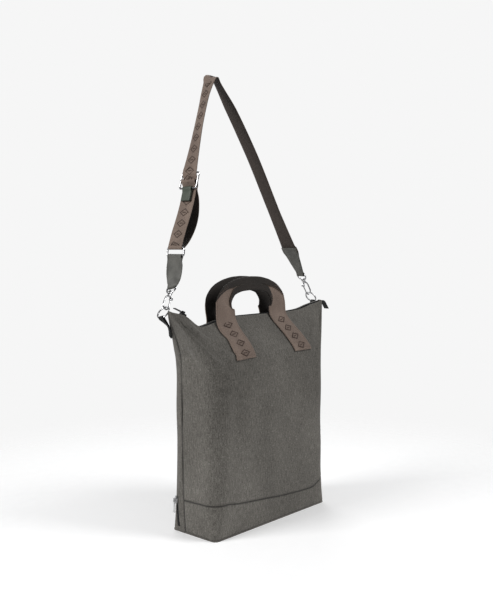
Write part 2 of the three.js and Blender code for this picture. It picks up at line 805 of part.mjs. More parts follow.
// The hook: a stem held in the boss, one curved limb round to the nose, and a fork for the gate
function hook() {
  const radius = hookWire / 2;
  const bottom = hookFoot + radius + limb;
  const path = [
    vec(0, 0, hookTop - shoulderHeight / 2),
    vec(limb * 0.45, 0, hookTop - shoulderHeight - 0.6),
    vec(limb * 0.85, 0, hookTop - shoulderHeight - 5),
    vec(limb, 0, hookTop - shoulderHeight - 11),
    ...arc(vec(0, 0, bottom), limb, 0, -Math.PI, 10, alongX, alongZ),
    vec(-limb, 0, noseZ),
  ];
  const headFoot = -eyeHeight + bossHeight / 2 + swivelGap;
  const stem = rod(stemRadius, hookTop - 1, headFoot + 0.5);
  const head = rod(shoulderRadius - 0.4, headFoot, headFoot + stemHeadHeight);
  const shoulder = rod(shoulderRadius, hookTop - shoulderHeight, hookTop);
  const arm = wire(
    [vec(0, 0, hookTop - shoulderHeight + 1.6), vec(pivotX * 0.6, 0, hookTop - shoulderHeight - 0.4),
      vec(pivotX, 0, pivotZ + 2.2)],
    radius,
    alongY,
  );
  const lug = box(pivotX - 2.1, pivotX + 2.1, -lugHalf, lugHalf, pivotZ - 2, pivotZ + 2.8);
  const slotHalf = forkHalf + swivelGap;
  const slot = box(pivotX - 3, pivotX + 3, -slotHalf, slotHalf, pivotZ - 3, pivotZ + 2.1);
  const pin = crossRod(pinRadius, 2 * lugHalf - 0.4, pivotX, pivotZ, 8);
  const fork = joined(cut(joined(lug, arm), slot), pin);
  return joined(stem, head, shoulder, wire(path, radius, alongY), fork);
}

// The gate lever, drawn about its pin
function gate() {
  const barrel = crossRod(barrelRadius, 2 * forkHalf, 0, 0);
  const hole = crossRod(pinRadius + swivelGap, 2 * lugHalf, 0, 0, 8);
  const length = pivotZ - noseZ - swivelGap - 0.2;
  const bar = rod(hookWire / 2 - 0.3, -length, -barrelRadius * 0.75, 8);
  return cut(joined(barrel, bar), hole);
}

function ring() {
  const path = range(24, (i) => {
    const angle = (2 * Math.PI * i) / 24;
    return vec(0, ringRadius * Math.cos(angle), ringRadius * Math.sin(angle));
  });
  return wire(path, ringWire / 2, alongX, true);
}

for (const [side, hanger] of Object.entries(hangers)) {
  place(add('swivel_eye_' + side, swivelEye(), 'metal'), hanger.frame);
  place(add('hook_' + side, hook(), 'metal'), hanger.frame);
  const lever = place(add('hook_gate_' + side, gate(), 'metal'), hanger.frame);
  lever.position.addScaledVector(hanger.frame.x, pivotX).addScaledVector(hanger.frame.z, pivotZ);
  const loop = place(add('ring_' + side, ring(), 'metal'), hanger.frame);
  loop.position.copy(hanger.ring);
}

// Path of a band round a bar, from one run past the bar and back along the other run.
// toward points from the runs to the bar, normal is square to it and to the bar.
function roundBar(centre, toward, normal, radius, steps = 6) {
  return arc(centre, radius, -Math.PI / 2 - 0.35, Math.PI / 2 + 0.35, steps, toward, normal);
}

// Ring tabs: short loops sewn to the side strips near the wing tips

const ringTabPlay = ringTabWidth ** 2 / (8 * ringRadius);

function ringTab(side) {
  const { ring: centre, up, bar } = hangers[side];
  const wireCentre = centre.clone().addScaledVector(up, ringTabPlay / 2 - ringRadius);
  const girth = side === 'left' ? zipGirth : girthTurn - zipGirth;
  const flat = (height) => {
    const along = vec(0, 0, 1).cross(outwardAt(skin, girth, height)).normalize();
    return along.dot(bar) < 0 ? along.negate() : along;
  };
  const seat = (height, layer) => skin(girth, height).addScaledVector(
    outwardAt(skin, girth, height),
    sewnGap + ringTabThickness * (0.5 + layer),
  );
  const root = seat(ringTabTo, 0.5);
  const toward = wireCentre.clone().sub(root);
  toward.addScaledVector(bar, -toward.dot(bar)).normalize();
  const normal = toward.clone().cross(bar).normalize();
  if (normal.dot(outwardAt(skin, girth, ringTabTo)) < 0) normal.negate();
  const radius = (ringWire + ringTabPlay + ringTabThickness) / 2 + swivelGap;
  const turn = roundBar(wireCentre, toward, normal, radius);
  const path = [
    seat(ringTabFrom, 0), seat(ringTabTo, 0),
    ...turn,
    seat(ringTabTo, 1.25), seat(ringTabFrom, 1.25),
  ];
  const seated = [flat(ringTabFrom), flat(ringTabTo)];
  const directions = [...seated, ...turn.map(() => bar), ...seated.reverse()];
  const widths = path.map(() => ringTabWidth);
  return band(path, directions, widths, ringTabThickness);
}

add('ring_tab_left', ringTab('left'), 'zip');
add('ring_tab_right', ringTab('right'), 'zip');

// Left strap end: leather round the hook's eye and round the lower bar of a rectangular ring

const barReach = frameWire / 2;
const strapHalf = strapThickness / 2;

function closedFrame(width, height, crossBar) {
  const halfWidth = width / 2;
  const halfHeight = height / 2;
  const bend = frameWire;
  const corners = [[1, 1, 0], [-1, 1, 1], [-1, -1, 2], [1, -1, 3]];
  const path = corners.flatMap(([across, up, quarter]) => arc(
    vec(0, across * (halfWidth - bend), up * (halfHeight - bend)),
    bend,
    (quarter * Math.PI) / 2,
    ((quarter + 1) * Math.PI) / 2,
    3,
    alongY,
    alongZ,
  ));
  const rim = wire(path, frameWire / 2, alongX, true);
  if (!crossBar) return rim;
  const bar = wire(range(4, (i) => vec(0, mix(-halfWidth, halfWidth, i / 3), 0)), frameWire / 2, alongX);
  return joined(rim, bar);
}

// Local strap frame: x out of the camera side of the webbing, y across it, z up along it
function strapFrame(origin, up) {
  return frameAt(origin, strapAcross.clone().cross(up), up);
}

// A belt round two bars, pinched together between them
function belt(low, high, lowAcross, highAcross, lowBar, highBar, lowWidth, highWidth, thickness) {
  const toward = high.clone().sub(low).normalize();
  const acrossAt = (share) => mixPoint(lowAcross, highAcross, share).normalize();
  const normalAt = (share) => toward.clone().cross(acrossAt(share)).normalize();
  const length = high.distanceTo(low);
  const pinch = thickness / 2 + seamGap / 2;
  const points = [];
  const push = (point, share) => points.push({ point, share });
  const radiusLow = lowBar + swivelGap + thickness / 2;
  const radiusHigh = highBar + swivelGap + thickness / 2;
  const run = (share, side) => low.clone().addScaledVector(toward, share * length)
    .addScaledVector(normalAt(share), side * pinch);
  const lowShare = (radiusLow * 2.6) / length;
  const highShare = 1 - (radiusHigh * 2.6) / length;
  const middle = (lowShare + highShare) / 2;
  const squareTo = (across) => toward.clone().addScaledVector(across, -toward.dot(across)).normalize();
  for (const point of roundBar(high, squareTo(acrossAt(1)), normalAt(1), radiusHigh)) push(point, 1);
  for (const share of [highShare, middle, lowShare]) push(run(share, 1), share);
  const back = squareTo(acrossAt(0)).negate();
  for (const point of roundBar(low, back, normalAt(0).negate(), radiusLow)) push(point, 0);
  for (const share of [lowShare, middle, highShare]) push(run(share, -1), share);
  return band(
    points.map(({ point }) => point),
    points.map(({ share }) => acrossAt(share)),
    points.map(({ share }) => mix(lowWidth, highWidth, smooth(0, 0.9, share))),
    thickness,
    true,
  );
}

// Apex, slider and rectangular ring of the strap
const apex = strapPoint(strapApexOffset, strapApexHeight);
const sliderCentre = strapPoint(sliderOffset, sliderRise);
const loopUp = strapPoint(strapApexOffset - 16, strapApexHeight - 30).sub(sliderCentre).normalize();
const ringBarHigh = sliderCentre.clone().addScaledVector(loopUp, -loopLength);
const sliderBox = strapFrame(sliderCentre, loopUp);
const ringUp = ringBarHigh.clone().sub(hangers.left.eye).normalize();
const ringBarLow = ringBarHigh.clone().addScaledVector(ringUp, -ringFrameHeight);
const ringBox = strapFrame(mixPoint(ringBarHigh, ringBarLow, 0.5), ringUp);

const frameWidth = strapWebbing + 2 * frameWire + 1;

place(add('strap_slider', closedFrame(frameWidth, sliderFrameHeight, true), 'metal'), sliderBox);
place(add('strap_ring', closedFrame(frameWidth, ringFrameHeight, false), 'metal'), ringBox);

add('leather_tab_left', belt(
  hangers.left.eye,
  ringBarLow,
  hangers.left.bar,
  strapAcross,
  hookWire / 2,
  barReach,
  tabEndWidth - 4,
  strapWebbing,
  tabLeather,
), 'leather');

// Shoulder webbing: one length from the right tab over the apex, through the slider,
// round the rectangular ring and back to the slider's middle bar.
// The legs' tables give how far along, how far bowed as a share of the leg, and the twist in degrees.

const rightLeg = [
  { along: 0.00, bow: 0.000, twist: 0 },
  { along: 0.22, bow: 0.008, twist: 9 },
  { along: 0.60, bow: 0.026, twist: 9 },
  { along: 0.85, bow: 0.022, twist: 12 },
  { along: 1.00, bow: 0.000, twist: 16 },
];
const leftLeg = [
  { along: 0.00, bow: 0.000, twist: 0 },
  { along: 0.20, bow: 0.004, twist: 10 },
  { along: 0.60, bow: 0.014, twist: 18 },
  { along: 0.85, bow: 0.014, twist: 18 },
  { along: 1.00, bow: 0.000, twist: 16 },
];

// The webbing's way through the slider. front is a share of its lift off a bar, rear of its place
// behind the frame, and up of the distance from the middle bar to an outer one.
const weaveDown = [
  { front: 1.0, rear: 0.0, up: 1.0 },
  { front: 0.2, rear: 0.0, up: 0.52 },
  { front: -1.0, rear: 0.0, up: 0.1 },
  { front: 0.0, rear: 1.0, up: -0.6 },
  { front: 0.0, rear: 1.0, up: -1.0 },
];
const weaveUp = [
  { front: 0.0, rear: 1.0, up: -1.4 },
  { front: 0.0, rear: 1.0, up: -0.77 },
  { front: 0.0, rear: 0.2, up: -0.43 },
  { front: 1.0, rear: 0.0, up: -0.1 },
  { front: 1.0, rear: 0.0, up: 0.12 },
];

const rightEye = hangers.right.eye;
const rightUp = apex.clone().sub(rightEye).normalize();
const rightEnd = rightEye.clone().addScaledVector(rightUp, rightTabLength - tabSeam);

function strapPath() {
  const path = [];
  const push = (point, twist) => path.push({ point, twist: THREE.MathUtils.degToRad(twist) });
  const outwardX = (from, to) => to.clone().sub(from).normalize().cross(strapAcross).normalize();
  const leg = (table, from, to, steps, sign) => {
    const bowAt = curveOf(table, 'along', 'bow');
    const twistAt = curveOf(table, 'along', 'twist');
    const out = outwardX(from, to).multiplyScalar(sign);
    const length = from.distanceTo(to);
    return range(steps, (i) => {
      const share = i / steps;
      const point = mixPoint(from, to, share).addScaledVector(out, bowAt(share) * length);
      return { point, twist: twistAt(share) };
    });
  };
  const rightTop = strapPoint(strapApexOffset + strapApexRadius, strapApexHeight - 1.4 * strapApexRadius);
  const tabTop = rightEnd.clone().addScaledVector(rightUp, tabSeam + 3);
  push(rightEnd, 0);
  push(mixPoint(rightEnd, tabTop, 0.5), 0);
  for (const { point, twist } of leg(rightLeg, tabTop, rightTop, 9, 1)) push(point, twist);
  const crown = strapPoint(strapApexOffset, strapApexHeight - strapApexRadius);
  const level = strapAcross.clone().cross(alongZ).negate();
  for (const point of arc(crown, strapApexRadius, 0.5, Math.PI - 0.25, 6, level, alongZ)) push(point, 16);
  const onSlider = (out, up) => sliderCentre.clone()
    .addScaledVector(sliderBox.x, out)
    .addScaledVector(sliderBox.z, up);
  const clear = barReach + swivelGap + strapHalf;
  const barUp = sliderFrameHeight / 2;
  const leftTop = strapPoint(strapApexOffset - strapApexRadius - 4, strapApexHeight - 2.2 * strapApexRadius);
  const sliderIn = onSlider(clear, barUp + 6);
  for (const { point, twist } of leg(leftLeg, sliderIn, leftTop, 8, -1).reverse()) push(point, twist);
  const behind = -(clear + tabLeather + swivelGap);
  const second = behind - strapThickness - seamGap;
  const weave = (rows, rear) => {
    for (const row of rows) push(onSlider(row.front * clear + row.rear * rear, row.up * barUp), 0);
  };
  weave(weaveDown, second);
  const backBow = (share) => -loopBow * Math.sin(Math.PI * share) ** 0.8;
  const loopFrom = -barUp;
  const loopTo = -loopLength;
  for (const share of [0.12, 0.26, 0.42, 0.58, 0.74, 0.88]) {
    const ends = mix(second, -clear, share);
    push(onSlider(ends + backBow(share), mix(loopFrom, loopTo, share)), 0);
  }
  const turn = arc(ringBarHigh, clear, Math.PI, 2 * Math.PI, 6, sliderBox.x, sliderBox.z);
  turn.forEach((point) => push(point, 0));
  for (const share of [0.75, 0.5, 0.25]) {
    const across = mix(behind, clear, smooth(0.2, 1, share));
    push(onSlider(across, mix(loopFrom, loopTo, share)), 0);
  }
  weave(weaveUp, behind);
  return path;
}

function strapBand() {
  const rows = strapPath();
  const directions = rows.map(({ point, twist }, i) => {
    const before = rows[Math.max(0, i - 1)].point;
    const after = rows[Math.min(rows.length - 1, i + 1)].point;
    const tangent = after.clone().sub(before).normalize();
    const turned = Math.sin(twist) * (tangent.z < 0 ? 1 : -1);
    return strapAcross.clone().multiplyScalar(Math.cos(twist))
      .addScaledVector(tangent.cross(strapAcross), turned);
  });
  return band(rows.map(({ point }) => point), directions, rows.map(() => strapWebbing), strapThickness);
}

add('strap_webbing', strapBand(), 'webbing');

// Right leather tab: round the hook's eye, its two ends sewn over the end of the webbing
function rightTab() {
  const { eye, bar } = hangers.right;
  const across = bar.dot(strapAcross) < 0 ? bar.clone().negate() : bar.clone();
  const radius = hookWire / 2 + swivelGap + tabLeather / 2;
  const pinch = (tabLeather + seamGap) / 2;
  const seat = strapHalf + swivelGap + tabLeather / 2;
  const normal = rightUp.clone().cross(strapAcross).normalize();
  const square = rightUp.clone().addScaledVector(across, -rightUp.dot(across)).normalize();
  const runs = [
    { along: rightTabLength, lift: seat },
    { along: rightTabLength - tabSeam, lift: seat },
    { along: rightTabLength - tabSeam - 6, lift: pinch },
    { along: rightTabLength * 0.35, lift: pinch },
    { along: radius * 2.6, lift: pinch },
  ];
  const rows = [];
  const push = (point, along) => rows.push({ point, along });
  const run = (row, side) => push(
    eye.clone().addScaledVector(rightUp, row.along).addScaledVector(normal, side * row.lift),
    row.along,
  );
  runs.forEach((row) => run(row, 1));
  for (const point of roundBar(eye, square.clone().negate(), normal.clone().negate(), radius)) push(point, 0);
  [...runs].reverse().forEach((row) => run(row, -1));
  const share = (along) => smooth(0, 0.85, along / rightTabLength);
  return band(
    rows.map(({ point }) => point),
    rows.map(({ along }) => mixPoint(across, strapAcross, share(along))),
    rows.map(({ along }) => mix(tabEndWidth - 4, strapWebbing + 1, share(along))),
    tabLeather,
  );
}

add('leather_tab_right', rightTab(), 'leather');

// Leather puller on the slider's lower bar
const sliderLowBar = sliderCentre.clone().addScaledVector(loopUp, -sliderFrameHeight / 2);

function sliderTab() {
  const radius = barReach + swivelGap + tabLeather / 2;
  const normal = sliderBox.x;
  const rows = [];
  const pinch = (tabLeather + seamGap) / 2;
  const run = (along, side) => rows.push(
    sliderLowBar.clone().addScaledVector(loopUp, -along).addScaledVector(normal, side * pinch),
  );
  [sliderTabLength, sliderTabLength * 0.6, radius * 2.6].forEach((along) => run(along, 1));
  rows.push(...roundBar(sliderLowBar, loopUp, normal.clone().negate(), radius));
  [radius * 2.6, sliderTabLength * 0.6, sliderTabLength].forEach((along) => run(along, -1));
  return band(rows, rows.map(() => strapAcross), rows.map(() => sliderTabWidth), tabLeather);
}

add('slider_tab', sliderTab(), 'leather');

// Cloth tab past the right end of the top zip, drooping outwards
function zipEndTab() {
  const start = vec(tipReach + seamGap, 0, mouthLine(mouthLength).z);
  const path = range(7, (i) => {
    const share = i / 6;
    return start.clone().add(vec(
      zipEndTabLength * 0.62 * share,
      0,
      2.5 * Math.sin(Math.PI * Math.min(1, 1.4 * share)) - zipEndTabDrop * share ** 1.6,
    ));
  });
  return band(path, path.map(() => alongY), path.map(() => zipMouth - 2), clothWall);
}

add('zip_end_tab', zipEndTab(), 'zip');

const bag = new THREE.Group();
bag.add(...Object.values(meshes));
export default bag;
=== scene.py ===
# %% [markdown]
# A convertible tote backpack, dressed in cloth, webbing, leather and metal
#
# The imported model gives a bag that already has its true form: cloth walls, handles, a long strap and small
# hardware. This notebook gives each piece its fine surface. It starts with the frame, because every piece
# takes its size and place from there.

# %% Load the frame
import json
import math

import bmesh
import bpy
import numpy as np
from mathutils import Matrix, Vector


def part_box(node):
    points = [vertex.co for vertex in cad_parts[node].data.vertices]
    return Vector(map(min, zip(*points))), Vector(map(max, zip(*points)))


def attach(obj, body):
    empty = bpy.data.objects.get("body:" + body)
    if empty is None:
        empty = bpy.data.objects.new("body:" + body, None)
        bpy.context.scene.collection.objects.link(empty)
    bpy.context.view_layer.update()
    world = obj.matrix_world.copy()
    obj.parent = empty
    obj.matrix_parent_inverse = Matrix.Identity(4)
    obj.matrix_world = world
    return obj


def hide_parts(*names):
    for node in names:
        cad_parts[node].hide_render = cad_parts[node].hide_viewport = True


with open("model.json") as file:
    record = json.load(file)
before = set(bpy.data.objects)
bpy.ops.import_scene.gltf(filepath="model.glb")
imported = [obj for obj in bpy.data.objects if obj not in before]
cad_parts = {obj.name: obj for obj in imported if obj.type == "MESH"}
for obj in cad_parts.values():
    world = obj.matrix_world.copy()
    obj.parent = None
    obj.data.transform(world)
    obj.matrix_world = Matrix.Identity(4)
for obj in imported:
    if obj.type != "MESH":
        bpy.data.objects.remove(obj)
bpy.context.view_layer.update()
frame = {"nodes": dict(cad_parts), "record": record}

MM = 0.001

# %% [markdown]
# The camera stands to the left of the front, a little above the middle of the bag. A fit to the outline of
# the bag gave its place and focal length. The room is a pale floor and soft light from large lamps, so that
# cloth shows its form by slow shading and the small metal pieces still have something bright to reflect.

# %% Camera
CAMERA_PLACE = (-1.196, -1.056, 0.5296)
CAMERA_AZIMUTH = -48.15
CAMERA_ELEVATION = 4.22
CAMERA_LENS = 47.9
SENSOR_WIDTH = 36

camera_data = bpy.data.cameras.new("camera")
camera_data.sensor_width = SENSOR_WIDTH
camera_data.lens = CAMERA_LENS
camera = bpy.data.objects.new("camera", camera_data)
camera.location = CAMERA_PLACE
camera.rotation_euler = (math.radians(90 - CAMERA_ELEVATION), 0, math.radians(CAMERA_AZIMUTH))
bpy.context.scene.collection.objects.link(camera)
bpy.context.scene.camera = camera
print("camera, m from the bag's foot:", round(Vector(CAMERA_PLACE).length, 2))

# %% Soft lamps
LAMPS = [
    dict(name="left key", place=(-2.1, 0.7, 1.5), size=1.2, power=46),
    dict(name="front key", place=(1.3, -2.2, 2.2), size=1.4, power=62),
    dict(name="back rim", place=(1.2, 1.6, 1.9), size=1.4, power=16),
]
LAMP_TARGET = Vector((0, 0, 0.35))
bpy.context.scene.view_settings.view_transform = "Standard"

for lamp in LAMPS:
    light = bpy.data.lights.new(lamp["name"], "AREA")
    light.size = lamp["size"]
    light.energy = lamp["power"]
    holder = bpy.data.objects.new(lamp["name"], light)
    holder.location = lamp["place"]
    aim = LAMP_TARGET - holder.location
    holder.rotation_euler = aim.to_track_quat("-Z", "Y").to_euler()
    bpy.context.scene.collection.objects.link(holder)
print("lamps, W:", [lamp["power"] for lamp in LAMPS])

# %% [markdown]
# A finish is a small graph of nodes. Written by hand, such a graph is long and hard to read, so one class
# wraps a socket and lets plain arithmetic add the Math nodes, and one method adds every other node from its
# type, its settings and the values of its sockets.

# %% A wrapper for shader sockets
class Signal:
    """The output of a shader node. Arithmetic on it adds Math nodes."""

    def __init__(self, finish, socket):
        self.finish = finish
        self.socket = socket

    def _math(self, operation, first, second):
        return self.finish.node("ShaderNodeMath", {"operation": operation}, {0: first, 1: second})

    def __add__(self, other):
        return self._math("ADD", self, other)

    def __radd__(self, other):
        return self._math("ADD", other, self)

    def __sub__(self, other):
        return self._math("SUBTRACT", self, other)

    def __rsub__(self, other):
        return self._math("SUBTRACT", other, self)

    def __mul__(self, other):
        return self._math("MULTIPLY", self, other)

    def __rmul__(self, other):
        return self._math("MULTIPLY", other, self)

    def __pow__(self, other):
        return self._math("POWER", self, other)


# %% A finish under construction
class Finish:
    """A material, or the sky, under construction."""

    def __init__(self, name, shelf=bpy.data.materials):
        self.material = shelf.new(name)
        self.material.use_nodes = True
        self.tree = self.material.node_tree
        self.tree.nodes.clear()

    def node(self, kind, settings=None, sockets=None, out=0):
        """Adds a node of that kind: its settings first, then the values or links of its sockets."""
        node = self.tree.nodes.new(kind)
        for name, value in (settings or {}).items():
            if name == "stops":
                self._set_stops(node.color_ramp, value)
            else:
                setattr(node, name, value)
        for key, value in (sockets or {}).items():
            socket = self._socket(node.inputs, key)
            if isinstance(value, Signal):
                self.tree.links.new(value.socket, socket)
            else:
                socket.default_value = value
        return None if out is None else Signal(self, self._socket(node.outputs, out))

    @staticmethod
    def _set_stops(ramp, stops):
        while len(ramp.elements) < len(stops):
            ramp.elements.new(0.5)
        for element, (place, colour) in zip(ramp.elements, stops):
            element.position = place
            element.color = (*colour, 1)

    @staticmethod
    def _socket(sockets, key):
        if isinstance(key, int):
            return sockets[key]
        return next(s for s in sockets if key in (s.identifier, s.name))

    def parts(self, vector):
        """The three parts of a vector."""
        return [self.node("ShaderNodeSeparateXYZ", {}, {0: vector}, out) for out in range(3)]

    def vector(self, x, y, z=0.0):
        """A vector from its parts."""
        return self.node("ShaderNodeCombineXYZ", {}, {0: x, 1: y, 2: z})

    def noise(self, vector, scale, detail=2.0, roughness=0.5):
        """Soft noise around 0.5; the scale is the number of its cells in one unit of the vector."""
        return self.node(
            "ShaderNodeTexNoise", {},
            {"Vector": vector, "Scale": scale, "Detail": detail, "Roughness": roughness},
        )

    def ramp(self, factor, *stops):
        """A colour picked by a value from stops, each a place and a colour."""
        return self.node("ShaderNodeValToRGB", {"stops": stops}, {0: factor})

    def blend(self, factor, first, second):
        """The first colour where the factor is 0 and the second where it is 1."""
        return self.node(
            "ShaderNodeMix", {"data_type": "RGBA"},
            {"Factor_Float": factor, "A_Color": first, "B_Color": second}, "Result_Color",
        )

    def step(self, value, low, high):
        """Rises smoothly from 0 to 1 between two values."""
        settings = {"interpolation_type": "SMOOTHSTEP"}
        return self.node("ShaderNodeMapRange", settings, {0: value, 1: low, 2: high})

    def wave(self, value, pitch):
        """A sine along a value that repeats with that pitch, from -1 to 1."""
        return self.node("ShaderNodeMath", {"operation": "SINE"}, {0: value * (2 * math.pi / pitch)})

    def bump(self, height, distance, strength):
        """Relief in the light alone; a height of 1 stands out by the distance."""
        sockets = {"Height": height, "Distance": distance, "Strength": strength}
        return self.node("ShaderNodeBump", {}, sockets)

    def surface(self, **sockets):
        """Closes the graph with a Principled shader; underscores in names stand for spaces."""
        named = {name.replace("_", " "): value for name, value in sockets.items()}
        shader = self.node("ShaderNodeBsdfPrincipled", {}, named, "BSDF")
        self.node("ShaderNodeOutputMaterial", {}, {"Surface": shader}, None)
        return self.material


# %% [markdown]
# The photographer's backdrop is one even pale grey, while the light on the bag comes from the lamps and a
# dimmer room. So the sky that the camera sees has its own value, and the rest of the rays meet the room.

# %% Sky
ROOM_COLOUR = (0.93, 0.94, 0.96, 1)
ROOM_STRENGTH = 0.23
BACKDROP_COLOUR = (0.922, 0.922, 0.922, 1)


def studio_sky():
    """The room's light, and an even backdrop for the camera's own rays."""
    sky = Finish("studio", bpy.data.worlds)
    room = sky.node("ShaderNodeBackground", {}, {"Color": ROOM_COLOUR, "Strength": ROOM_STRENGTH})
    backdrop = sky.node("ShaderNodeBackground", {}, {"Color": BACKDROP_COLOUR})
    seen = sky.node("ShaderNodeLightPath", out="Is Camera Ray")
    both = sky.node("ShaderNodeMixShader", {}, {0: seen, 1: room, 2: backdrop})
    sky.node("ShaderNodeOutputWorld", {}, {"Surface": both}, None)
    return sky.material


bpy.context.scene.world = studio_sky()
print("sky nodes:", len(bpy.context.scene.world.node_tree.nodes))

# %% [markdown]
# The body cloth is a matt melange twill: warp yarns of two greys run up the bag, so from a distance it shows
# fine upright streaks on slow, cloudy changes of tone. Panels carry a UV map in metres, along and up the
# cloth, so the yarns follow each panel round the corners. The attribute "seam" is 1 in the fold of a seam,
# where thread and shadow make a dark line.

# %% Body cloth
SEAM_SHADE = (0.012, 0.011, 0.010, 1)


def cloth_finish():
    finish = Finish("melange twill")
    uv = finish.node("ShaderNodeUVMap", {"uv_map": "cloth"})
    along, up, _ = finish.parts(uv)
    yarns = finish.noise(finish.vector(along * 1000, up * 320), 1.0, 2.0, 0.6)
    streaks = finish.noise(finish.vector(along * 430, up * 75), 1.0, 2.0, 0.6)
    clouds = finish.noise(finish.vector(along * 9, up * 5), 1.0, 2.0)
    tone = yarns * 0.48 + streaks * 0.30 + clouds * 0.22
    colour = finish.ramp(
        tone,
        (0.36, (0.046, 0.043, 0.037)),
        (0.47, (0.098, 0.091, 0.080)),
        (0.55, (0.142, 0.133, 0.118)),
        (0.66, (0.240, 0.228, 0.204)),
    )
    seam = finish.node("ShaderNodeAttribute", {"attribute_name": "seam"}, {}, "Fac")
    twill = finish.wave(along + up * 0.5, 0.9 * MM)
    weave = finish.bump(twill * 0.5 + yarns, 0.12 * MM, 0.45)
    return finish.surface(
        # The dark line in the seam fold is partly the thread's colour and partly painted shadow.
        Base_Color=finish.blend(seam * 0.8, colour, SEAM_SHADE),
        Roughness=0.72 + streaks * 0.2,
        Specular_IOR_Level=0.28,
        Sheen_Weight=0.12,
        Sheen_Roughness=0.4,
        Normal=weave,
    )


CLOTH = cloth_finish()
print("cloth nodes:", len(CLOTH.node_tree.nodes))

# %% [markdown]
# The webbing is a flat woven band. Its ribs cross the band, its edges are a little thicker, and its underside
# is a copy of the finish darkened to nearly black brown as painted shade. A UV map across and along the band
# lets the ribs follow every bend.

# %% Webbing
def webbing_finish(name, dark, light):
    finish = Finish(name)
    uv = finish.node("ShaderNodeUVMap", {"uv_map": "cloth"})
    across, along, _ = finish.parts(uv)
    ribs = finish.wave(along, 1.6 * MM)
    rows = finish.wave(across, 1.1 * MM)
    grain = finish.noise(finish.vector(across * 500, along * 700), 1.0, 2.0)
    clouds = finish.noise(finish.vector(across * 25, along * 14), 1.0, 2.0)
    tone = grain * 0.5 + clouds * 0.35 + ribs * 0.06 + rows * 0.04 + 0.1
    middle = [0.5 * (a + b) for a, b in zip(dark, light)]
    colour = finish.ramp(tone, (0.30, dark), (0.50, middle), (0.74, light))
    weave = finish.bump(ribs * rows * 0.5 + grain * 0.5, 0.25 * MM, 0.5)
    return finish.surface(
        Base_Color=colour,
        Roughness=0.66 + grain * 0.2,
        Specular_IOR_Level=0.3,
        Sheen_Weight=0.15,
        Sheen_Roughness=0.4,
        Normal=weave,
    )


BROWN_DARK = (0.062, 0.043, 0.034)
BROWN_LIGHT = (0.300, 0.226, 0.183)
WEBBING = webbing_finish("brown webbing", BROWN_DARK, BROWN_LIGHT)
# The strap's underside finish is the brown webbing darkened: painted shade, not a colour of its own.
WEBBING_UNDERSIDE_PAINTED_SHADE = webbing_finish("webbing underside painted shade", (0.016, 0.012, 0.010), (0.074, 0.055, 0.045))
# The handles' underside finish is darker still, nearly black: painted shade under the folded arch.
HANDLE_UNDERSIDE_PAINTED_SHADE = webbing_finish("handle underside painted shade", (0.006, 0.005, 0.004), (0.034, 0.026, 0.021))
RELIEF = webbing_finish("raised webbing pattern", (0.026, 0.016, 0.012), (0.105, 0.070, 0.055))
print("webbing nodes:", len(WEBBING.node_tree.nodes))

# %% [markdown]
# Leather shows fine pebbled grain that catches light, a slow change of tone from handling, and a half matt
# topcoat. Cells from a Voronoi texture give the pebbles, and Object coordinates are enough for a small piece.

# %% Leather
def leather_finish(name, dark, light):
    finish = Finish(name)
    place = finish.node("ShaderNodeTexCoord", out="Object")
    pebbles = finish.node(
        "ShaderNodeTexVoronoi", {"feature": "SMOOTH_F1"},
        {"Vector": place, "Scale": 1100.0, "Smoothness": 0.6}, "Distance",
    )
    clouds = finish.noise(place, 60.0, 3.0)
    tone = clouds * 0.75 + pebbles * 0.25
    colour = finish.ramp(tone, (0.34, dark), (0.66, light))
    grain = finish.bump(pebbles + clouds * 0.3, 0.22 * MM, 0.55)
    return finish.surface(
        Base_Color=colour,
        Roughness=0.44 + clouds * 0.22,
        Specular_IOR_Level=0.45,
        Normal=grain,
    )


LEATHER = leather_finish("grey green leather", (0.058, 0.057, 0.050), (0.122, 0.119, 0.106))
DARK_LEATHER = leather_finish("dark green leather", (0.028, 0.036, 0.026), (0.070, 0.084, 0.062))
print("leather nodes:", len(LEATHER.node_tree.nodes))

# %% [markdown]
# The hooks and rings are polished castings, so their metal is nearly a mirror with small rubs and smudges.
# The top zip's slider is of black metal, and both zips have dull black tape and slightly glossy nylon turns.
# Thread is a twisted yarn. Tape, nylon and thread share one rule, a fine slanting wave and some fuzz.

# %% Metal, zip and thread
def metal_finish(name, dark, light, roughness):
    finish = Finish(name)
    place = finish.node("ShaderNodeTexCoord", out="Object")
    rubs = finish.noise(place, 420.0, 3.0, 0.6)
    smudges = finish.noise(place, 90.0, 2.0)
    colour = finish.ramp(smudges, (0.3, dark), (0.7, light))
    return finish.surface(
        Base_Color=colour,
        Metallic=1.0,
        Roughness=roughness + rubs * 0.2,
        Normal=finish.bump(rubs, 0.03 * MM, 0.3),
    )


def yarn_finish(name, dark, light, roughness, pitch):
    finish = Finish(name)
    place = finish.node("ShaderNodeTexCoord", out="Object")
    x, y, z = finish.parts(place)
    threads = finish.wave(x + y * 0.6 + z * 0.8, pitch)
    fuzz = finish.noise(place, 900.0, 2.0)
    colour = finish.ramp(fuzz * 0.8 + threads * 0.08 + 0.1, (0.35, dark), (0.65, light))
    return finish.surface(
        Base_Color=colour,
        Roughness=roughness + fuzz * 0.15,
        Specular_IOR_Level=0.35,
        Normal=finish.bump(threads * 0.5 + fuzz, 0.1 * MM, 0.5),
    )


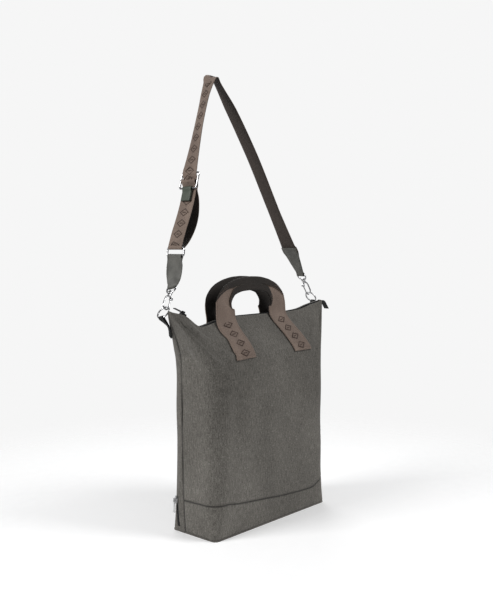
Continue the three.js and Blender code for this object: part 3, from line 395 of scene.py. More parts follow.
METAL = metal_finish("polished silver metal", (0.42, 0.42, 0.43), (0.62, 0.62, 0.62), 0.10)
BLACK_METAL = metal_finish("black zip metal", (0.020, 0.020, 0.021), (0.045, 0.045, 0.046), 0.22)
TAPE = yarn_finish("black tape", (0.006, 0.006, 0.006), (0.024, 0.024, 0.025), 0.68, 0.7 * MM)
COIL = yarn_finish("black nylon coil", (0.008, 0.008, 0.008), (0.030, 0.030, 0.032), 0.36, 0.4 * MM)
CLOTH_THREAD = yarn_finish("taupe thread", (0.060, 0.055, 0.047), (0.150, 0.140, 0.120), 0.6, 0.3 * MM)
BROWN_THREAD = yarn_finish("brown thread", (0.100, 0.068, 0.052), (0.270, 0.195, 0.155), 0.6, 0.3 * MM)
GREEN_THREAD = yarn_finish("grey green thread", (0.110, 0.112, 0.098), (0.220, 0.222, 0.200), 0.6, 0.3 * MM)
print("finishes:", len(bpy.data.materials))

# %% [markdown]
# The skin of the bag is one smooth surface with two directions: the girth, which runs round the bag, and the
# height. Short tables say how the section changes on the way up: a box at the base, full in the middle, and
# pinched to a flat mouth that spreads into two wings. The same rule made the frame's solids, so the fine
# panels lie where the solids lie.

# %% Curves from tables
def curve_of(rows, along, column):
    """One column of a table along another, as a smooth curve without overshoot."""
    places = np.array([row[along] for row in rows])
    values = np.array([row[column] for row in rows])
    slope = np.diff(values) / np.diff(places)
    before = np.r_[slope[0], slope]
    after = np.r_[slope, slope[-1]]
    total = np.where(before + after == 0, 1, before + after)
    tangent = np.where(before * after <= 0, 0, 2 * before * after / total)

    def at(place):
        place = np.clip(place, places[0], places[-1])
        i = np.clip(np.searchsorted(places, place, side="right") - 1, 0, len(places) - 2)
        step = places[i + 1] - places[i]
        s = (place - places[i]) / step
        rise = s * s * (3 - 2 * s)
        bend = step * s * (1 - s) * (tangent[i] * (1 - s) - tangent[i + 1] * s)
        return values[i] + (values[i + 1] - values[i]) * rise + bend

    return at


def smooth(start, end, value):
    """Rises smoothly from 0 at the start to 1 at the end."""
    share = np.clip((value - start) / (end - start), 0, 1)
    return share * share * (3 - 2 * share)


print("halfway up a smooth step:", smooth(0, 1, 0.5))

# %% The bag's sizes and tables
floor_low, floor_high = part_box("base_floor")
BASE_WIDTH = floor_high.x - floor_low.x
BASE_DEPTH = floor_high.y - floor_low.y
FLOOR_WALL = floor_high.z - floor_low.z
BAG_HEIGHT = 417 * MM
TIP_REACH = BASE_WIDTH / 2 + BASE_DEPTH / 2
ZIP_MOUTH = 14 * MM
CORNER_RADIUS = 38 * MM
BAND_HEIGHT = 64 * MM
CLOTH_WALL = 2 * MM
SEAM_GAP = 0.3 * MM

PROFILE = [
    dict(height=0.00, spread=0.00, fullness=1.00, corner=0.26),
    dict(height=0.08, spread=0.01, fullness=1.03, corner=0.55),
    dict(height=0.28, spread=0.02, fullness=1.09, corner=0.90),
    dict(height=0.52, spread=0.02, fullness=1.13, corner=1.00),
    dict(height=0.70, spread=0.03, fullness=1.12, corner=1.00),
    dict(height=0.79, spread=0.08, fullness=1.04, corner=0.90),
    dict(height=0.86, spread=0.30, fullness=0.78, corner=0.66),
    dict(height=0.93, spread=0.66, fullness=0.38, corner=0.36),
    dict(height=0.97, spread=0.87, fullness=0.15, corner=0.22),
    dict(height=1.00, spread=1.00, fullness=0.00, corner=0.155),
]
TOP_SAG = [
    dict(reach=-1.00, drop=0.000),
    dict(reach=-0.86, drop=0.018),
    dict(reach=-0.66, drop=0.074),
    dict(reach=-0.46, drop=0.056),
    dict(reach=-0.25, drop=0.042),
    dict(reach=0.43, drop=0.041),
    dict(reach=0.62, drop=0.036),
    dict(reach=0.81, drop=0.016),
    dict(reach=1.00, drop=0.000),
]
BAND_SEAM = [
    dict(girth=-1.66, rise=0.97),
    dict(girth=-1.00, rise=1.00),
    dict(girth=-0.75, rise=0.92),
    dict(girth=-0.26, rise=0.81),
    dict(girth=0.30, rise=0.69),
    dict(girth=0.81, rise=0.64),
    dict(girth=0.98, rise=0.76),
    dict(girth=1.12, rise=0.90),
    dict(girth=1.34, rise=0.97),
    dict(girth=1.66, rise=0.97),
]
spread_at = curve_of(PROFILE, "height", "spread")
fullness_at = curve_of(PROFILE, "height", "fullness")
corner_at = curve_of(PROFILE, "height", "corner")
sag_at = curve_of(TOP_SAG, "reach", "drop")
seam_rise_at = curve_of(BAND_SEAM, "girth", "rise")
print("base, mm:", round(BASE_WIDTH / MM), "x", round(BASE_DEPTH / MM))

# %% [markdown]
# Cloth that stands up has creases where it is pulled. Each row below is one crease or roll as a share of the
# bag: where it runs from and to, how wide and how deep it is. The first five are in the solids too. The
# finer ones only show in the light.

# %% Creases
FOLDS = [
    dict(girth=-0.98, height=0.97, to_girth=-0.60, to_height=0.90, width=0.030, depth=0.055),
    dict(girth=-1.02, height=0.95, to_girth=-1.00, to_height=0.77, width=0.040, depth=-0.070),
    dict(girth=-1.52, height=0.82, to_girth=-1.34, to_height=0.68, width=0.030, depth=-0.035),
    dict(girth=1.02, height=0.95, to_girth=1.00, to_height=0.78, width=0.040, depth=-0.050),
    dict(girth=-0.86, height=0.62, to_girth=-0.92, to_height=0.24, width=0.060, depth=-0.030),
    dict(girth=-0.90, height=0.93, to_girth=-0.74, to_height=0.80, width=0.014, depth=0.016),
    dict(girth=-1.06, height=0.90, to_girth=-1.22, to_height=0.74, width=0.016, depth=0.018),
    dict(girth=-0.80, height=0.90, to_girth=-0.66, to_height=0.76, width=0.012, depth=-0.012),
    dict(girth=0.92, height=0.93, to_girth=0.80, to_height=0.82, width=0.014, depth=0.014),
    dict(girth=-0.55, height=0.62, to_girth=-0.62, to_height=0.30, width=0.045, depth=0.012),
    dict(girth=0.10, height=0.70, to_girth=0.24, to_height=0.34, width=0.070, depth=-0.014),
    dict(girth=0.72, height=0.66, to_girth=0.66, to_height=0.30, width=0.050, depth=0.012),
    dict(girth=-1.20, height=0.60, to_girth=-1.24, to_height=0.28, width=0.035, depth=0.012),
]
FOLD_TAPER = 0.5
RIPPLE_RUN = 1.6
CREASE_FOOT = (0.12, 0.2)
CREASE_TOP = (0.93, 1)
RIPPLES = [
    dict(along=17, up=5, depth=0.30 * MM, turn=0.4),
    dict(along=-9, up=13, depth=0.38 * MM, turn=1.9),
    dict(along=26, up=-16, depth=0.16 * MM, turn=3.1),
]


def fold_depth(girth, height):
    """How far the cloth stands out at a place; a ripple has so many waves in its run of 1.6 metres."""
    x = girth * BASE_WIDTH / 2
    z = height * BAG_HEIGHT
    depth = np.zeros_like(x + z)
    for fold in FOLDS:
        from_x = fold["girth"] * BASE_WIDTH / 2
        from_z = fold["height"] * BAG_HEIGHT
        run_x = fold["to_girth"] * BASE_WIDTH / 2 - from_x
        run_z = fold["to_height"] * BAG_HEIGHT - from_z
        share = ((x - from_x) * run_x + (z - from_z) * run_z) / (run_x**2 + run_z**2)
        held = np.clip(share, 0, 1)
        away = np.hypot(x - from_x - held * run_x, z - from_z - held * run_z)
        fade = np.exp(-((away / (fold["width"] * BAG_HEIGHT)) ** 2))
        depth += fold["depth"] * BASE_DEPTH * fade * (1 - FOLD_TAPER * held)
    for ripple in RIPPLES:
        waves = (x * ripple["along"] + z * ripple["up"]) / RIPPLE_RUN
        depth += ripple["depth"] * np.sin(2 * math.pi * waves + ripple["turn"])
    return depth * (1 - smooth(*CREASE_TOP, height)) * smooth(*CREASE_FOOT, height)


print("crease at the left corner, mm:", round(float(fold_depth(-1.0, 0.9)) / MM, 1))

# %% [markdown]
# Now the skin itself. At each height the section is a rectangle with round corners, and the girth says how
# far round it a point lies. The creases move the points along the direction that looks away from the bag,
# which is measured from short steps on the smooth skin.

# %% The skin
GIRTH_TURN = 6
FRONT_SEAM = 1.66
BACK_SEAM = 1.92
SAG_START = 0.7
PROBE = 1e-3
CORNER_LIMIT = 0.85


def section(height):
    """Half the width, half the depth and the corner radius of the bag at a height."""
    mouth_half = ZIP_MOUTH / 2
    half_width = BASE_WIDTH / 2 + spread_at(height) * BASE_DEPTH / 2
    half_depth = mouth_half + fullness_at(height) * (BASE_DEPTH / 2 - mouth_half)
    corner = np.minimum(corner_at(height) * CORNER_RADIUS, half_depth * CORNER_LIMIT)
    return half_width, half_depth, corner


def smooth_skin(girth, height):
    """Points of the skin without its creases. The girth is -1 to 1 in front, then right, back and left."""
    girth, height = np.broadcast_arrays(np.asarray(girth, float), np.asarray(height, float))
    half_width, half_depth, corner = section(height)
    flat_width = half_width - corner
    flat_depth = 2 * (half_depth - corner)
    turn = math.pi / 2 * corner
    g = np.where(girth < -1, girth + GIRTH_TURN, girth)
    side = np.where(g < 2, 1, -1)
    along = np.where(g < 2, g - 1, 5 - g) * (2 * turn + flat_depth)
    near = np.clip(along / corner, 0, math.pi / 2)
    far = np.clip((along - turn - flat_depth) / corner, 0, math.pi / 2)
    side_x = side * (flat_width + corner * np.where(along > turn + flat_depth, np.cos(far), np.sin(near)))
    straight = np.clip(along - turn, 0, flat_depth)
    side_y = -half_depth + corner - corner * np.cos(near) + straight + corner * np.sin(far)
    front, back = g <= 1, (g >= 2) & (g <= 4)
    x = np.where(front, g * flat_width, np.where(back, (3 - g) * flat_width, side_x))
    y = np.where(front, -half_depth, np.where(back, half_depth, side_y))
    sag = sag_at(x / TIP_REACH) * BAG_HEIGHT * smooth(SAG_START, 1, height)
    return np.stack([x, y, height * BAG_HEIGHT - sag], axis=-1)


def outward_at(surface, girth, height):
    """The direction that looks away from the bag."""
    low = np.maximum(0, height - PROBE)
    high = np.minimum(1, height + PROBE)
    along = surface(girth + PROBE, height) - surface(girth - PROBE, height)
    up = surface(girth, high) - surface(girth, low)
    normal = np.cross(along, up)
    return normal / np.linalg.norm(normal, axis=-1, keepdims=True)


def skin(girth, height):
    girth, height = np.broadcast_arrays(np.asarray(girth, float), np.asarray(height, float))
    depth = fold_depth(girth, height)
    return smooth_skin(girth, height) + outward_at(smooth_skin, girth, height) * depth[..., None]


def band_seam_height(girth):
    """The height of the seam above the base band, as a share of the bag's height."""
    return seam_rise_at(girth) * BAND_HEIGHT / BAG_HEIGHT


half_way = skin(np.array([-1.0, 0.0, 1.0]), 0.5)
print("front of the bag half way up, mm:", (half_way / MM).round(1).tolist())

# %% [markdown]
# A panel is a grid of points on the skin. Near a seam the cloth turns in, so the grid sinks there by about
# a millimetre over the last few, which gives the dark line that a real seam shows. Solidify gives the wall
# its thickness, inwards, and the UV map is the length along and up the cloth.

# %% Helpers for grids and pieces
def lengths_along(points, axis):
    """The length run so far at each point of a grid, along one of its two directions."""
    steps = np.linalg.norm(np.diff(points, axis=axis), axis=-1)
    pad = [(0, 0), (0, 0)]
    pad[axis] = (1, 0)
    return np.cumsum(np.pad(steps, pad), axis=axis)


def new_piece(name, vertices, faces, uvs, material, smooth_faces=True):
    """A mesh object at the origin, with a UV map in metres when uvs is given."""
    mesh = bpy.data.meshes.new(name)
    mesh.from_pydata([tuple(v) for v in vertices], [], [tuple(f) for f in faces])
    if uvs is not None:
        layer = mesh.uv_layers.new(name="cloth")
        loops = np.array([loop.vertex_index for loop in mesh.loops])
        layer.data.foreach_set("uv", np.asarray(uvs, float)[loops].ravel())
    mesh.materials.append(material)
    mesh.polygons.foreach_set("use_smooth", [smooth_faces] * len(mesh.polygons))
    mesh.update()
    piece = bpy.data.objects.new(name, mesh)
    bpy.context.scene.collection.objects.link(piece)
    return piece


def grid_piece(name, points, uvs, material, seam=None):
    """A sheet from a grid of points; seam is 1 at those that lie in the fold of a seam."""
    columns, rows = points.shape[:2]
    number = np.arange(columns * rows).reshape(columns, rows)
    faces = []
    for a, b in zip(number[:-1], number[1:]):
        faces += [(a[j], b[j], b[j + 1], a[j + 1]) for j in range(rows - 1)]
    piece = new_piece(name, points.reshape(-1, 3), faces, uvs.reshape(-1, 2), material)
    if seam is not None:
        attribute = piece.data.attributes.new("seam", "FLOAT", "POINT")
        attribute.data.foreach_set("value", np.asarray(seam, float).ravel())
    return piece


def thicken(piece, thickness, offset, back=None):
    """Gives a sheet its thickness, and the side away from its normals a material of its own."""
    wall = piece.modifiers.new("wall", "SOLIDIFY")
    if back is not None:
        piece.data.materials.append(back)
        wall.material_offset = 1
    wall.thickness = thickness
    wall.offset = offset
    wall.use_even_offset = False
    wall.use_rim = True


def finish_piece(piece, body, slot, *nodes):
    """Says which body the piece rides on and hides the solids it stands for; the slot is not used."""
    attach(piece, body)
    if nodes:
        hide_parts(*nodes)
    return piece


# %% Panels
SEAM_TUCK = 1.1 * MM
SEAM_TUCK_WIDTH = 2.2 * MM
SEAM_LINE_WIDTH = 1.5 * MM
PANEL_STEP = 3.5 * MM
MEASURING_STEPS = 40


def spaced(start, end, step, tight=6):
    """Shares from start to end, closer together at both ends so that a seam's edge is round."""
    count = max(2, int(round((end - start) / step)))
    inner = np.linspace(start, end, count + 1)
    edge = np.linspace(0, 1, tight, endpoint=False)[1:] * (inner[1] - inner[0])
    return np.concatenate([inner[:1], start + edge, inner[1:-1], end - edge[::-1], inner[-1:]])


def near_seam(sides, away, width):
    """Falls from 1 on the given sides of a panel to 0 a width or two away from them."""
    return np.minimum(1, sum(flag * np.exp(-((gap / width) ** 2)) for flag, gap in zip(sides, away)))


def panel_grid(girth_from, girth_to, height_low, height_high, tuck_sides=(1, 1, 1, 1)):
    """Points, UVs and seam values of a panel; tuck_sides are left, right, low and high."""
    rough = np.linspace(girth_from, girth_to, MEASURING_STEPS)
    run = np.linalg.norm(np.diff(smooth_skin(rough, 0.5), axis=0), axis=-1).sum()
    girths = spaced(girth_from, girth_to, (girth_to - girth_from) * PANEL_STEP / run)
    shares = spaced(0, 1, PANEL_STEP / (BAG_HEIGHT * np.mean(height_high(girths) - height_low(girths))))
    low, high = height_low(girths)[:, None], height_high(girths)[:, None]
    heights = low + (high - low) * shares[None, :]
    grid_girths = np.repeat(girths[:, None], len(shares), axis=1)
    points = skin(grid_girths, heights)
    outward = outward_at(skin, grid_girths, heights)
    along, up = lengths_along(points, 0), lengths_along(points, 1)
    away = [along, along[-1:] - along, up, up[:, -1:] - up]
    points = points - outward * (SEAM_TUCK * near_seam(tuck_sides, away, SEAM_TUCK_WIDTH))[..., None]
    middle = along[np.argmin(np.abs(girths - (girth_from + girth_to) / 2))]
    uvs = np.stack([along - middle[None, :], up + low * BAG_HEIGHT], axis=-1)
    return points, uvs, near_seam(tuck_sides, away, SEAM_LINE_WIDTH)


def cloth_panel(name, *span, **tucks):
    """A panel of cloth that stands for the solid of that name."""
    points, uvs, seam = panel_grid(*span, **tucks)
    piece = grid_piece(name + "_cloth", points, uvs, CLOTH, seam)
    thicken(piece, CLOTH_WALL, -1)
    return finish_piece(piece, "root", "body_cloth", name)


FOOT_TUCK = 0.6
HALF_SEAM = SEAM_GAP / 2 / BAG_HEIGHT
ABOVE_FLOOR = (FLOOR_WALL + SEAM_GAP) / BAG_HEIGHT


def level(share):
    """An edge that runs at one height."""
    return lambda girth: np.full_like(girth, share)


def above_seam(girth):
    return band_seam_height(girth) + HALF_SEAM


def below_seam(girth):
    return band_seam_height(girth) - HALF_SEAM


foot_edge, top_edge = level(ABOVE_FLOOR), level(1.0)
open_top = (1, 1, FOOT_TUCK, 0)
panels = [
    cloth_panel("front_panel", -FRONT_SEAM, FRONT_SEAM, above_seam, top_edge, tuck_sides=(1, 1, 1, 0)),
    cloth_panel("base_band", -FRONT_SEAM, FRONT_SEAM, foot_edge, below_seam, tuck_sides=(1, 1, FOOT_TUCK, 1)),
    cloth_panel("back_panel", BACK_SEAM, GIRTH_TURN - BACK_SEAM, foot_edge, top_edge, tuck_sides=open_top),
    cloth_panel("side_strip_right", FRONT_SEAM, BACK_SEAM, foot_edge, top_edge, tuck_sides=open_top),
]
print("panel faces:", [len(p.data.polygons) for p in panels])

# %% [markdown]
# The left side strip has a short zip at its foot, set in a slot. The strip's grid has columns and rows that
# lie exactly on the slot's edges, so the slot is made by leaving its faces out. A narrow black tape lies
# just under the cloth and carries the coil.

# %% Left side strip with its slot
SIDE_ZIP_FOOT = 10 * MM
SIDE_ZIP_TOP = 66 * MM
SIDE_ZIP_WIDTH = 7 * MM
ZIP_GIRTH = GIRTH_TURN - (FRONT_SEAM + BACK_SEAM) / 2
ZIP_LEVEL = 0.1
STRIP_COLUMNS = 1.2
STRIP_ROWS = (4, 16, 100)
TOUCH = 1e-6


def girth_step(girth, height):
    """Metres along the skin for one unit of girth."""
    return np.linalg.norm(skin(girth + PROBE, height) - skin(girth - PROBE, height)) / (2 * PROBE)


def left_strip():
    """The cloth strip with a slot for its zip; its rows lie below, beside and above the slot."""
    start, end = GIRTH_TURN - BACK_SEAM, GIRTH_TURN - FRONT_SEAM
    half = SIDE_ZIP_WIDTH / 2 / girth_step(ZIP_GIRTH, ZIP_LEVEL)
    inside = np.linspace(ZIP_GIRTH - half, ZIP_GIRTH + half, 3)
    step = half / STRIP_COLUMNS
    girths = np.r_[spaced(start, inside[0], step)[:-1], inside, spaced(inside[-1], end, step)[1:]]
    foot, top = SIDE_ZIP_FOOT / BAG_HEIGHT, SIDE_ZIP_TOP / BAG_HEIGHT
    below, beside_slot, above = STRIP_ROWS
    heights = np.r_[
        np.linspace(ABOVE_FLOOR, foot, below)[:-1],
        np.linspace(foot, top, beside_slot)[:-1],
        np.linspace(top, 1, above),
    ]
    grid_girths, grid_heights = np.meshgrid(girths, heights, indexing="ij")
    points = skin(grid_girths, grid_heights)
    outward = outward_at(skin, grid_girths, grid_heights)
    along, up = lengths_along(points, 0), lengths_along(points, 1)
    away = [along, along[-1:] - along]
    points = points - outward * (SEAM_TUCK * near_seam((1, 1), away, SEAM_TUCK_WIDTH))[..., None]
    seam = near_seam((1, 1), away, SEAM_LINE_WIDTH)
    piece = grid_piece("side_strip_left_cloth", points, np.stack([along, up], axis=-1), CLOTH, seam)
    mesh = bmesh.new()
    mesh.from_mesh(piece.data)
    mesh.faces.ensure_lookup_table()
    rows = len(heights) - 1
    slot = [
        mesh.faces[i * rows + j]
        for i in range(len(girths) - 1) if inside[0] - TOUCH <= girths[i] < inside[-1] - TOUCH
        for j in range(rows) if foot - TOUCH <= heights[j] < top - TOUCH
    ]
    bmesh.ops.delete(mesh, geom=slot, context="FACES")
    mesh.to_mesh(piece.data)
    mesh.free()
    thicken(piece, CLOTH_WALL, -1)
    return finish_piece(piece, "root", "body_cloth", "side_strip_left")


print("left strip faces:", len(left_strip().data.polygons))

# %% Side zip tape
TAPE_THICKNESS = 1.0 * MM
TAPE_SINK = 0.6 * MM
RIBBON_COLUMNS = 5
RIBBON_ROWS = 18


def side_tape():
    """The tape in the slot: a narrow strip of the skin, a little inside the cloth's face."""
    heights = np.linspace(SIDE_ZIP_FOOT + SEAM_GAP, SIDE_ZIP_TOP - SEAM_GAP, RIBBON_ROWS) / BAG_HEIGHT
    half = (SIDE_ZIP_WIDTH - 2 * SEAM_GAP) / 2 / girth_step(ZIP_GIRTH, ZIP_LEVEL)
    girths = np.linspace(ZIP_GIRTH - half, ZIP_GIRTH + half, RIBBON_COLUMNS)
    grid_girths, grid_heights = np.meshgrid(girths, heights, indexing="ij")
    points = skin(grid_girths, grid_heights) - outward_at(skin, grid_girths, grid_heights) * TAPE_SINK
    uvs = np.stack([lengths_along(points, 0), lengths_along(points, 1)], axis=-1)
    piece = grid_piece("side_zip_tape_black", points, uvs, TAPE)
    thicken(piece, TAPE_THICKNESS, -1)
    return finish_piece(piece, "root", "zip_and_tape", "side_zip_tape")


print("side tape faces:", len(side_tape().data.polygons))

# %% [markdown]
# The floor is a stiff board covered with the same cloth. It is the flat face that the bag stands on, so it
# is an outline with a small bevel and nothing more.

# %% Floor
FLOOR_POINTS = ((-1, 1, 30), (1, 2, 24), (2, 4, 30), (4, 5, 24))
FLOOR_BEVEL = 0.5 * MM


def floor_piece():
    """The board, from its outline: front, right, back and left, each with its count of points."""
    runs = [np.linspace(*run) for run in FLOOR_POINTS]
    girths = np.concatenate([runs[0], runs[1][1:], runs[2][1:], runs[3][1:-1]])
    edge = smooth_skin(girths, 0.0)
    count = len(edge)
    upper = edge + np.array([0, 0, FLOOR_WALL])
    vertices = np.concatenate([edge, upper])
    faces = [tuple(range(count))[::-1], tuple(range(count, 2 * count))]
    faces += [(i, (i + 1) % count, count + (i + 1) % count, count + i) for i in range(count)]
    piece = new_piece("base_floor_cloth", vertices, faces, vertices[:, :2], CLOTH, smooth_faces=False)
    edge_bevel = piece.modifiers.new("edge", "BEVEL")
    edge_bevel.width = FLOOR_BEVEL
    edge_bevel.segments = 2
    return finish_piece(piece, "root", "body_cloth", "base_floor")


print("floor faces:", len(floor_piece().data.polygons))

# %% [markdown]
# The carry handles are one length of webbing each. Its ends lie flat on the face of the bag. Above the bag
# both edges fold over to the front until they meet in the middle, so the arch is half as wide, shows the
# underside, which is painted nearly black as shade, and leaves a pointed corner of the brown face on each
# leg.
# So each cross-section is a line that may turn back on itself: the crease value says how much of the width
# still lies open.

# %% Smooth curves through points
BEND_REACH = 1.5


def refined(points, step, closed=False):
    """Rows about a step apart: a smooth curve through the first three columns, straight runs in the rest."""
    points = np.asarray(points, float)
    if closed:
        points = np.concatenate([points[-1:], points, points[:2]])
    else:
        points = np.concatenate([2 * points[:1] - points[1:2], points, 2 * points[-1:] - points[-2:-1]])
    first, last = 1, len(points) - 2
    chord = np.maximum(np.linalg.norm(np.diff(points[:, :3], axis=0), axis=1), 1e-9)
    rows = []
    for i in range(first, last):
        before, gap, after = chord[i - 1], chord[i], chord[i + 1]
        here, there = points[i], points[i + 1]
        slope = (there - here) / gap
        reach_here, reach_there = min(gap, BEND_REACH * before), min(gap, BEND_REACH * after)
        tangent_here = ((here - points[i - 1]) / before * gap + slope * before) / (before + gap) * reach_here
        tangent_there = (slope * after + (points[i + 2] - there) / after * gap) / (gap + after) * reach_there
        count = max(1, int(round(gap / step)))
        for k in range(count):
            s = k / count
            row = (1 - s) * here + s * there
            row[:3] = (
                (2 * s**3 - 3 * s**2 + 1) * here + (s**3 - 2 * s**2 + s) * tangent_here
                + (3 * s**2 - 2 * s**3) * there + (s**3 - s**2) * tangent_there
            )[:3]
            rows.append(row)
    if not closed:
        rows.append(points[last])
    return np.array(rows)


# %% Sizes of the carry handles
HANDLE_HALF = 25 * MM
HANDLE_THICKNESS = 2.2 * MM
HANDLE_FOOT_SPREAD = 84 * MM
HANDLE_FOOT_HEIGHT = 330 * MM
HANDLE_CROWN = 476 * MM
HANDLE_LEAN = -16 * MM
SEWN_GAP = 0.95 * MM
FOLD_GAP = HANDLE_THICKNESS + 0.2 * MM
FOLD_ROUND = 0.08
FOLD_OPENING = (0.02, 0.15)
WEBBING_WALL = HANDLE_THICKNESS - 0.3 * MM
HANDLE_SPINE = HANDLE_CROWN - HANDLE_HALF - HANDLE_THICKNESS
HANDLE_COLUMNS = 49
LEG_ROWS = 30
ARCH_STEP = 2.5 * MM
JOINT_ROUNDS = 12
JOINT_REACH = 6
HANDLE_RISE = [
    dict(rise=0.14, spread=0.89, crease=1.0),
    dict(rise=0.44, spread=0.89, crease=1.0),
    dict(rise=0.70, spread=0.77, crease=0.45),
    dict(rise=0.87, spread=0.56, crease=0.05),
    dict(rise=0.97, spread=0.29, crease=0.0),
    dict(rise=1.0, spread=0.0, crease=0.0),
]


print("handle crown above the bag, mm:", round((HANDLE_CROWN - BAG_HEIGHT) / MM))

# %% Fold, legs and arch of a handle
def lean_at(z):
    """How far a handle leans to one side at a height."""
    return HANDLE_LEAN * smooth(HANDLE_FOOT_HEIGHT, HANDLE_SPINE, z)


def folded(share, crease):
    """Where a point of the webbing's width goes, across and ahead, when both edges fold over to the front."""
    fold = (1 + crease) / 2
    width = np.abs(share)
    turn = np.clip((width - fold + FOLD_ROUND) / (2 * FOLD_ROUND), 0, 1) * math.pi
    across = np.where(width < fold - FOLD_ROUND, width, fold - FOLD_ROUND + FOLD_ROUND * np.sin(turn))
    across = np.where(width > fold + FOLD_ROUND, 2 * fold - width, across)
    ahead = FOLD_GAP * ((1 - np.cos(turn)) / 2 - 0.5) * smooth(*FOLD_OPENING, 1 - crease)
    return np.sign(share) * across - (1 - fold), ahead


def handle_leg(facing, side, shares):
    """Rows of points up one leg, which lies on the skin."""
    rise = np.linspace(0, 1, LEG_ROWS)[:, None]
    height = HANDLE_FOOT_HEIGHT / BAG_HEIGHT + (1 - HANDLE_FOOT_HEIGHT / BAG_HEIGHT) * rise
    half_width, _, corner = section(height)
    spread = HANDLE_FOOT_SPREAD * (1 + (HANDLE_RISE[0]["spread"] - 1) * rise)
    x = side * (spread - shares[None, :] * HANDLE_HALF) + lean_at(height * BAG_HEIGHT)
    girth = x / (half_width - corner)
    girth = girth if facing < 0 else 3 - girth
    height = np.broadcast_to(height, girth.shape)
    return skin(girth, height) + outward_at(skin, girth, height) * (SEWN_GAP + HANDLE_THICKNESS / 2)


def handle_arch(facing, side, stand, top, shares):
    """Rows of points from the top edge of the bag to the crown."""
    rows = [
        (row["spread"] * HANDLE_FOOT_SPREAD, 0, top + (HANDLE_SPINE - top) * row["rise"], row["crease"])
        for row in HANDLE_RISE
    ]
    path = refined(rows, ARCH_STEP)
    centre, crease = path[:, :3], np.clip(path[:, 3], 0, 1)
    tangent = np.gradient(centre, axis=0)
    tangent /= np.linalg.norm(tangent, axis=1, keepdims=True)
    inward = np.stack([-tangent[:, 2], np.zeros(len(tangent)), tangent[:, 0]], axis=1)
    across, ahead = folded(shares[None, :], crease[:, None])
    points = centre[:, None, :] + inward[:, None, :] * (across * HANDLE_HALF)[..., None]
    points[..., 0] = side * points[..., 0] + lean_at(centre[:, None, 2])
    points[..., 1] = facing * (stand + ahead)
    return points


# %% [markdown]
# A handle is made in two halves that meet at the crown. Each half is the leg's rows and then the arch's rows.
# The rows near the place where the leg leaves the bag are averaged a few times, because webbing bends there
# and doesn't break.

# %% Carry handles
def handle(name, facing, stand):
    """One handle, smoothed where its legs leave the bag; gives the grid of points of each half."""
    shares = np.linspace(-1, 1, HANDLE_COLUMNS)
    top = skin(0.0, 1.0)[2] - outward_at(skin, np.array(0.0), np.array(1.0))[2] * CLOTH_WALL
    sides = []
    for side in (-1, 1):
        leg = handle_leg(facing, side, shares)
        arch = handle_arch(facing, side, stand, top, shares)
        rows = np.concatenate([leg, arch])
        joint = slice(LEG_ROWS - JOINT_REACH, LEG_ROWS + JOINT_REACH)
        for _ in range(JOINT_ROUNDS):
            soft = rows.copy()
            soft[1:-1] = (rows[:-2] + 2 * rows[1:-1] + rows[2:]) / 4
            rows[joint] = soft[joint]
        sides.append(rows)
    points = np.concatenate([sides[0], sides[1][::-1][1:]])
    along = lengths_along(points, 0).mean(axis=1)
    uvs = np.stack(np.broadcast_arrays(shares[None, :] * HANDLE_HALF, along[:, None]), axis=-1)
    piece = grid_piece(name + "_webbing", points, uvs, WEBBING)
    if piece.data.polygons[0].normal.y * facing < 0:
        piece.data.flip_normals()
    # The side away from the normals gets the handles' underside finish, which is painted shade.
    thicken(piece, WEBBING_WALL, 0, HANDLE_UNDERSIDE_PAINTED_SHADE)
    finish_piece(piece, "root", "webbing", name)
    return sides


FRONT_STAND = 11 * MM
BACK_STAND = 18 * MM
front_handle = handle("handle_front", -1, FRONT_STAND)
back_handle = handle("handle_back", 1, BACK_STAND)
print("handle crown, mm:", round(front_handle[0][-1][:, 2].max() / MM, 1))

# %% [markdown]
# The strap, the leather tabs and the small cloth loops are all bands: flat, of one thickness, bent along a
# path. Their solids in the frame are rows of four corner points. Reading those rows off the frame gives the
# path, the direction across and the width at every station, so nothing about the route is written twice.

# %% Corner points of a band's solid
MERGE = 0.002 * MM


def linked_points(node):
    """The corner points of a solid and the neighbours of each."""
    mesh = bmesh.new()
    mesh.from_mesh(frame["nodes"][node].data)
    bmesh.ops.remove_doubles(mesh, verts=mesh.verts, dist=MERGE)
    points = np.array([v.co for v in mesh.verts])
    links = [{e.other_vert(v).index for e in v.link_edges} for v in mesh.verts]
    pairs = [{v.index for f in e.link_faces for v in f.verts} for e in mesh.edges]
    mesh.free()
    return points, links, [pair for pair in pairs if len(pair) == 4]


print("corner points of the strap:", len(linked_points("strap_webbing")[0]))

# %% Walk along a band from ring to ring
def beyond(links, ring, seen):
    """The points linked to a ring that haven't been seen."""
    return set().union(*(links[v] for v in ring)) - seen


def walk(links, ring, seen):
    """The rings of points met one after another from a first ring, and all the points seen."""
    rings = [ring]
    seen = seen | ring
    while len(rings[-1]) == 4:
        following = beyond(links, rings[-1], seen)
        if not following:
            break
        rings.append(following)
        seen = seen | following
    return rings, seen


def split_in_two(links, points):
    """The two groups of four linked points that lie on both sides of a station of a closed belt."""
    first = {min(points)}
    while True:
        grown = first | (set().union(*(links[v] for v in first)) & points)
        if grown == first:
            return first, points - first
        first = grown


def nearest(points, i):
    """The number of the point that lies nearest to point i."""
    gaps = np.linalg.norm(points - points[i], axis=1)
    gaps[i] = np.inf
    return int(np.argmin(gaps))


def thickest(rings):
    """The largest distance from a station's first corner to its mate; only true stations keep it small."""
    return max(np.linalg.norm(ring[0] - ring[1:], axis=1).min() for ring in rings)


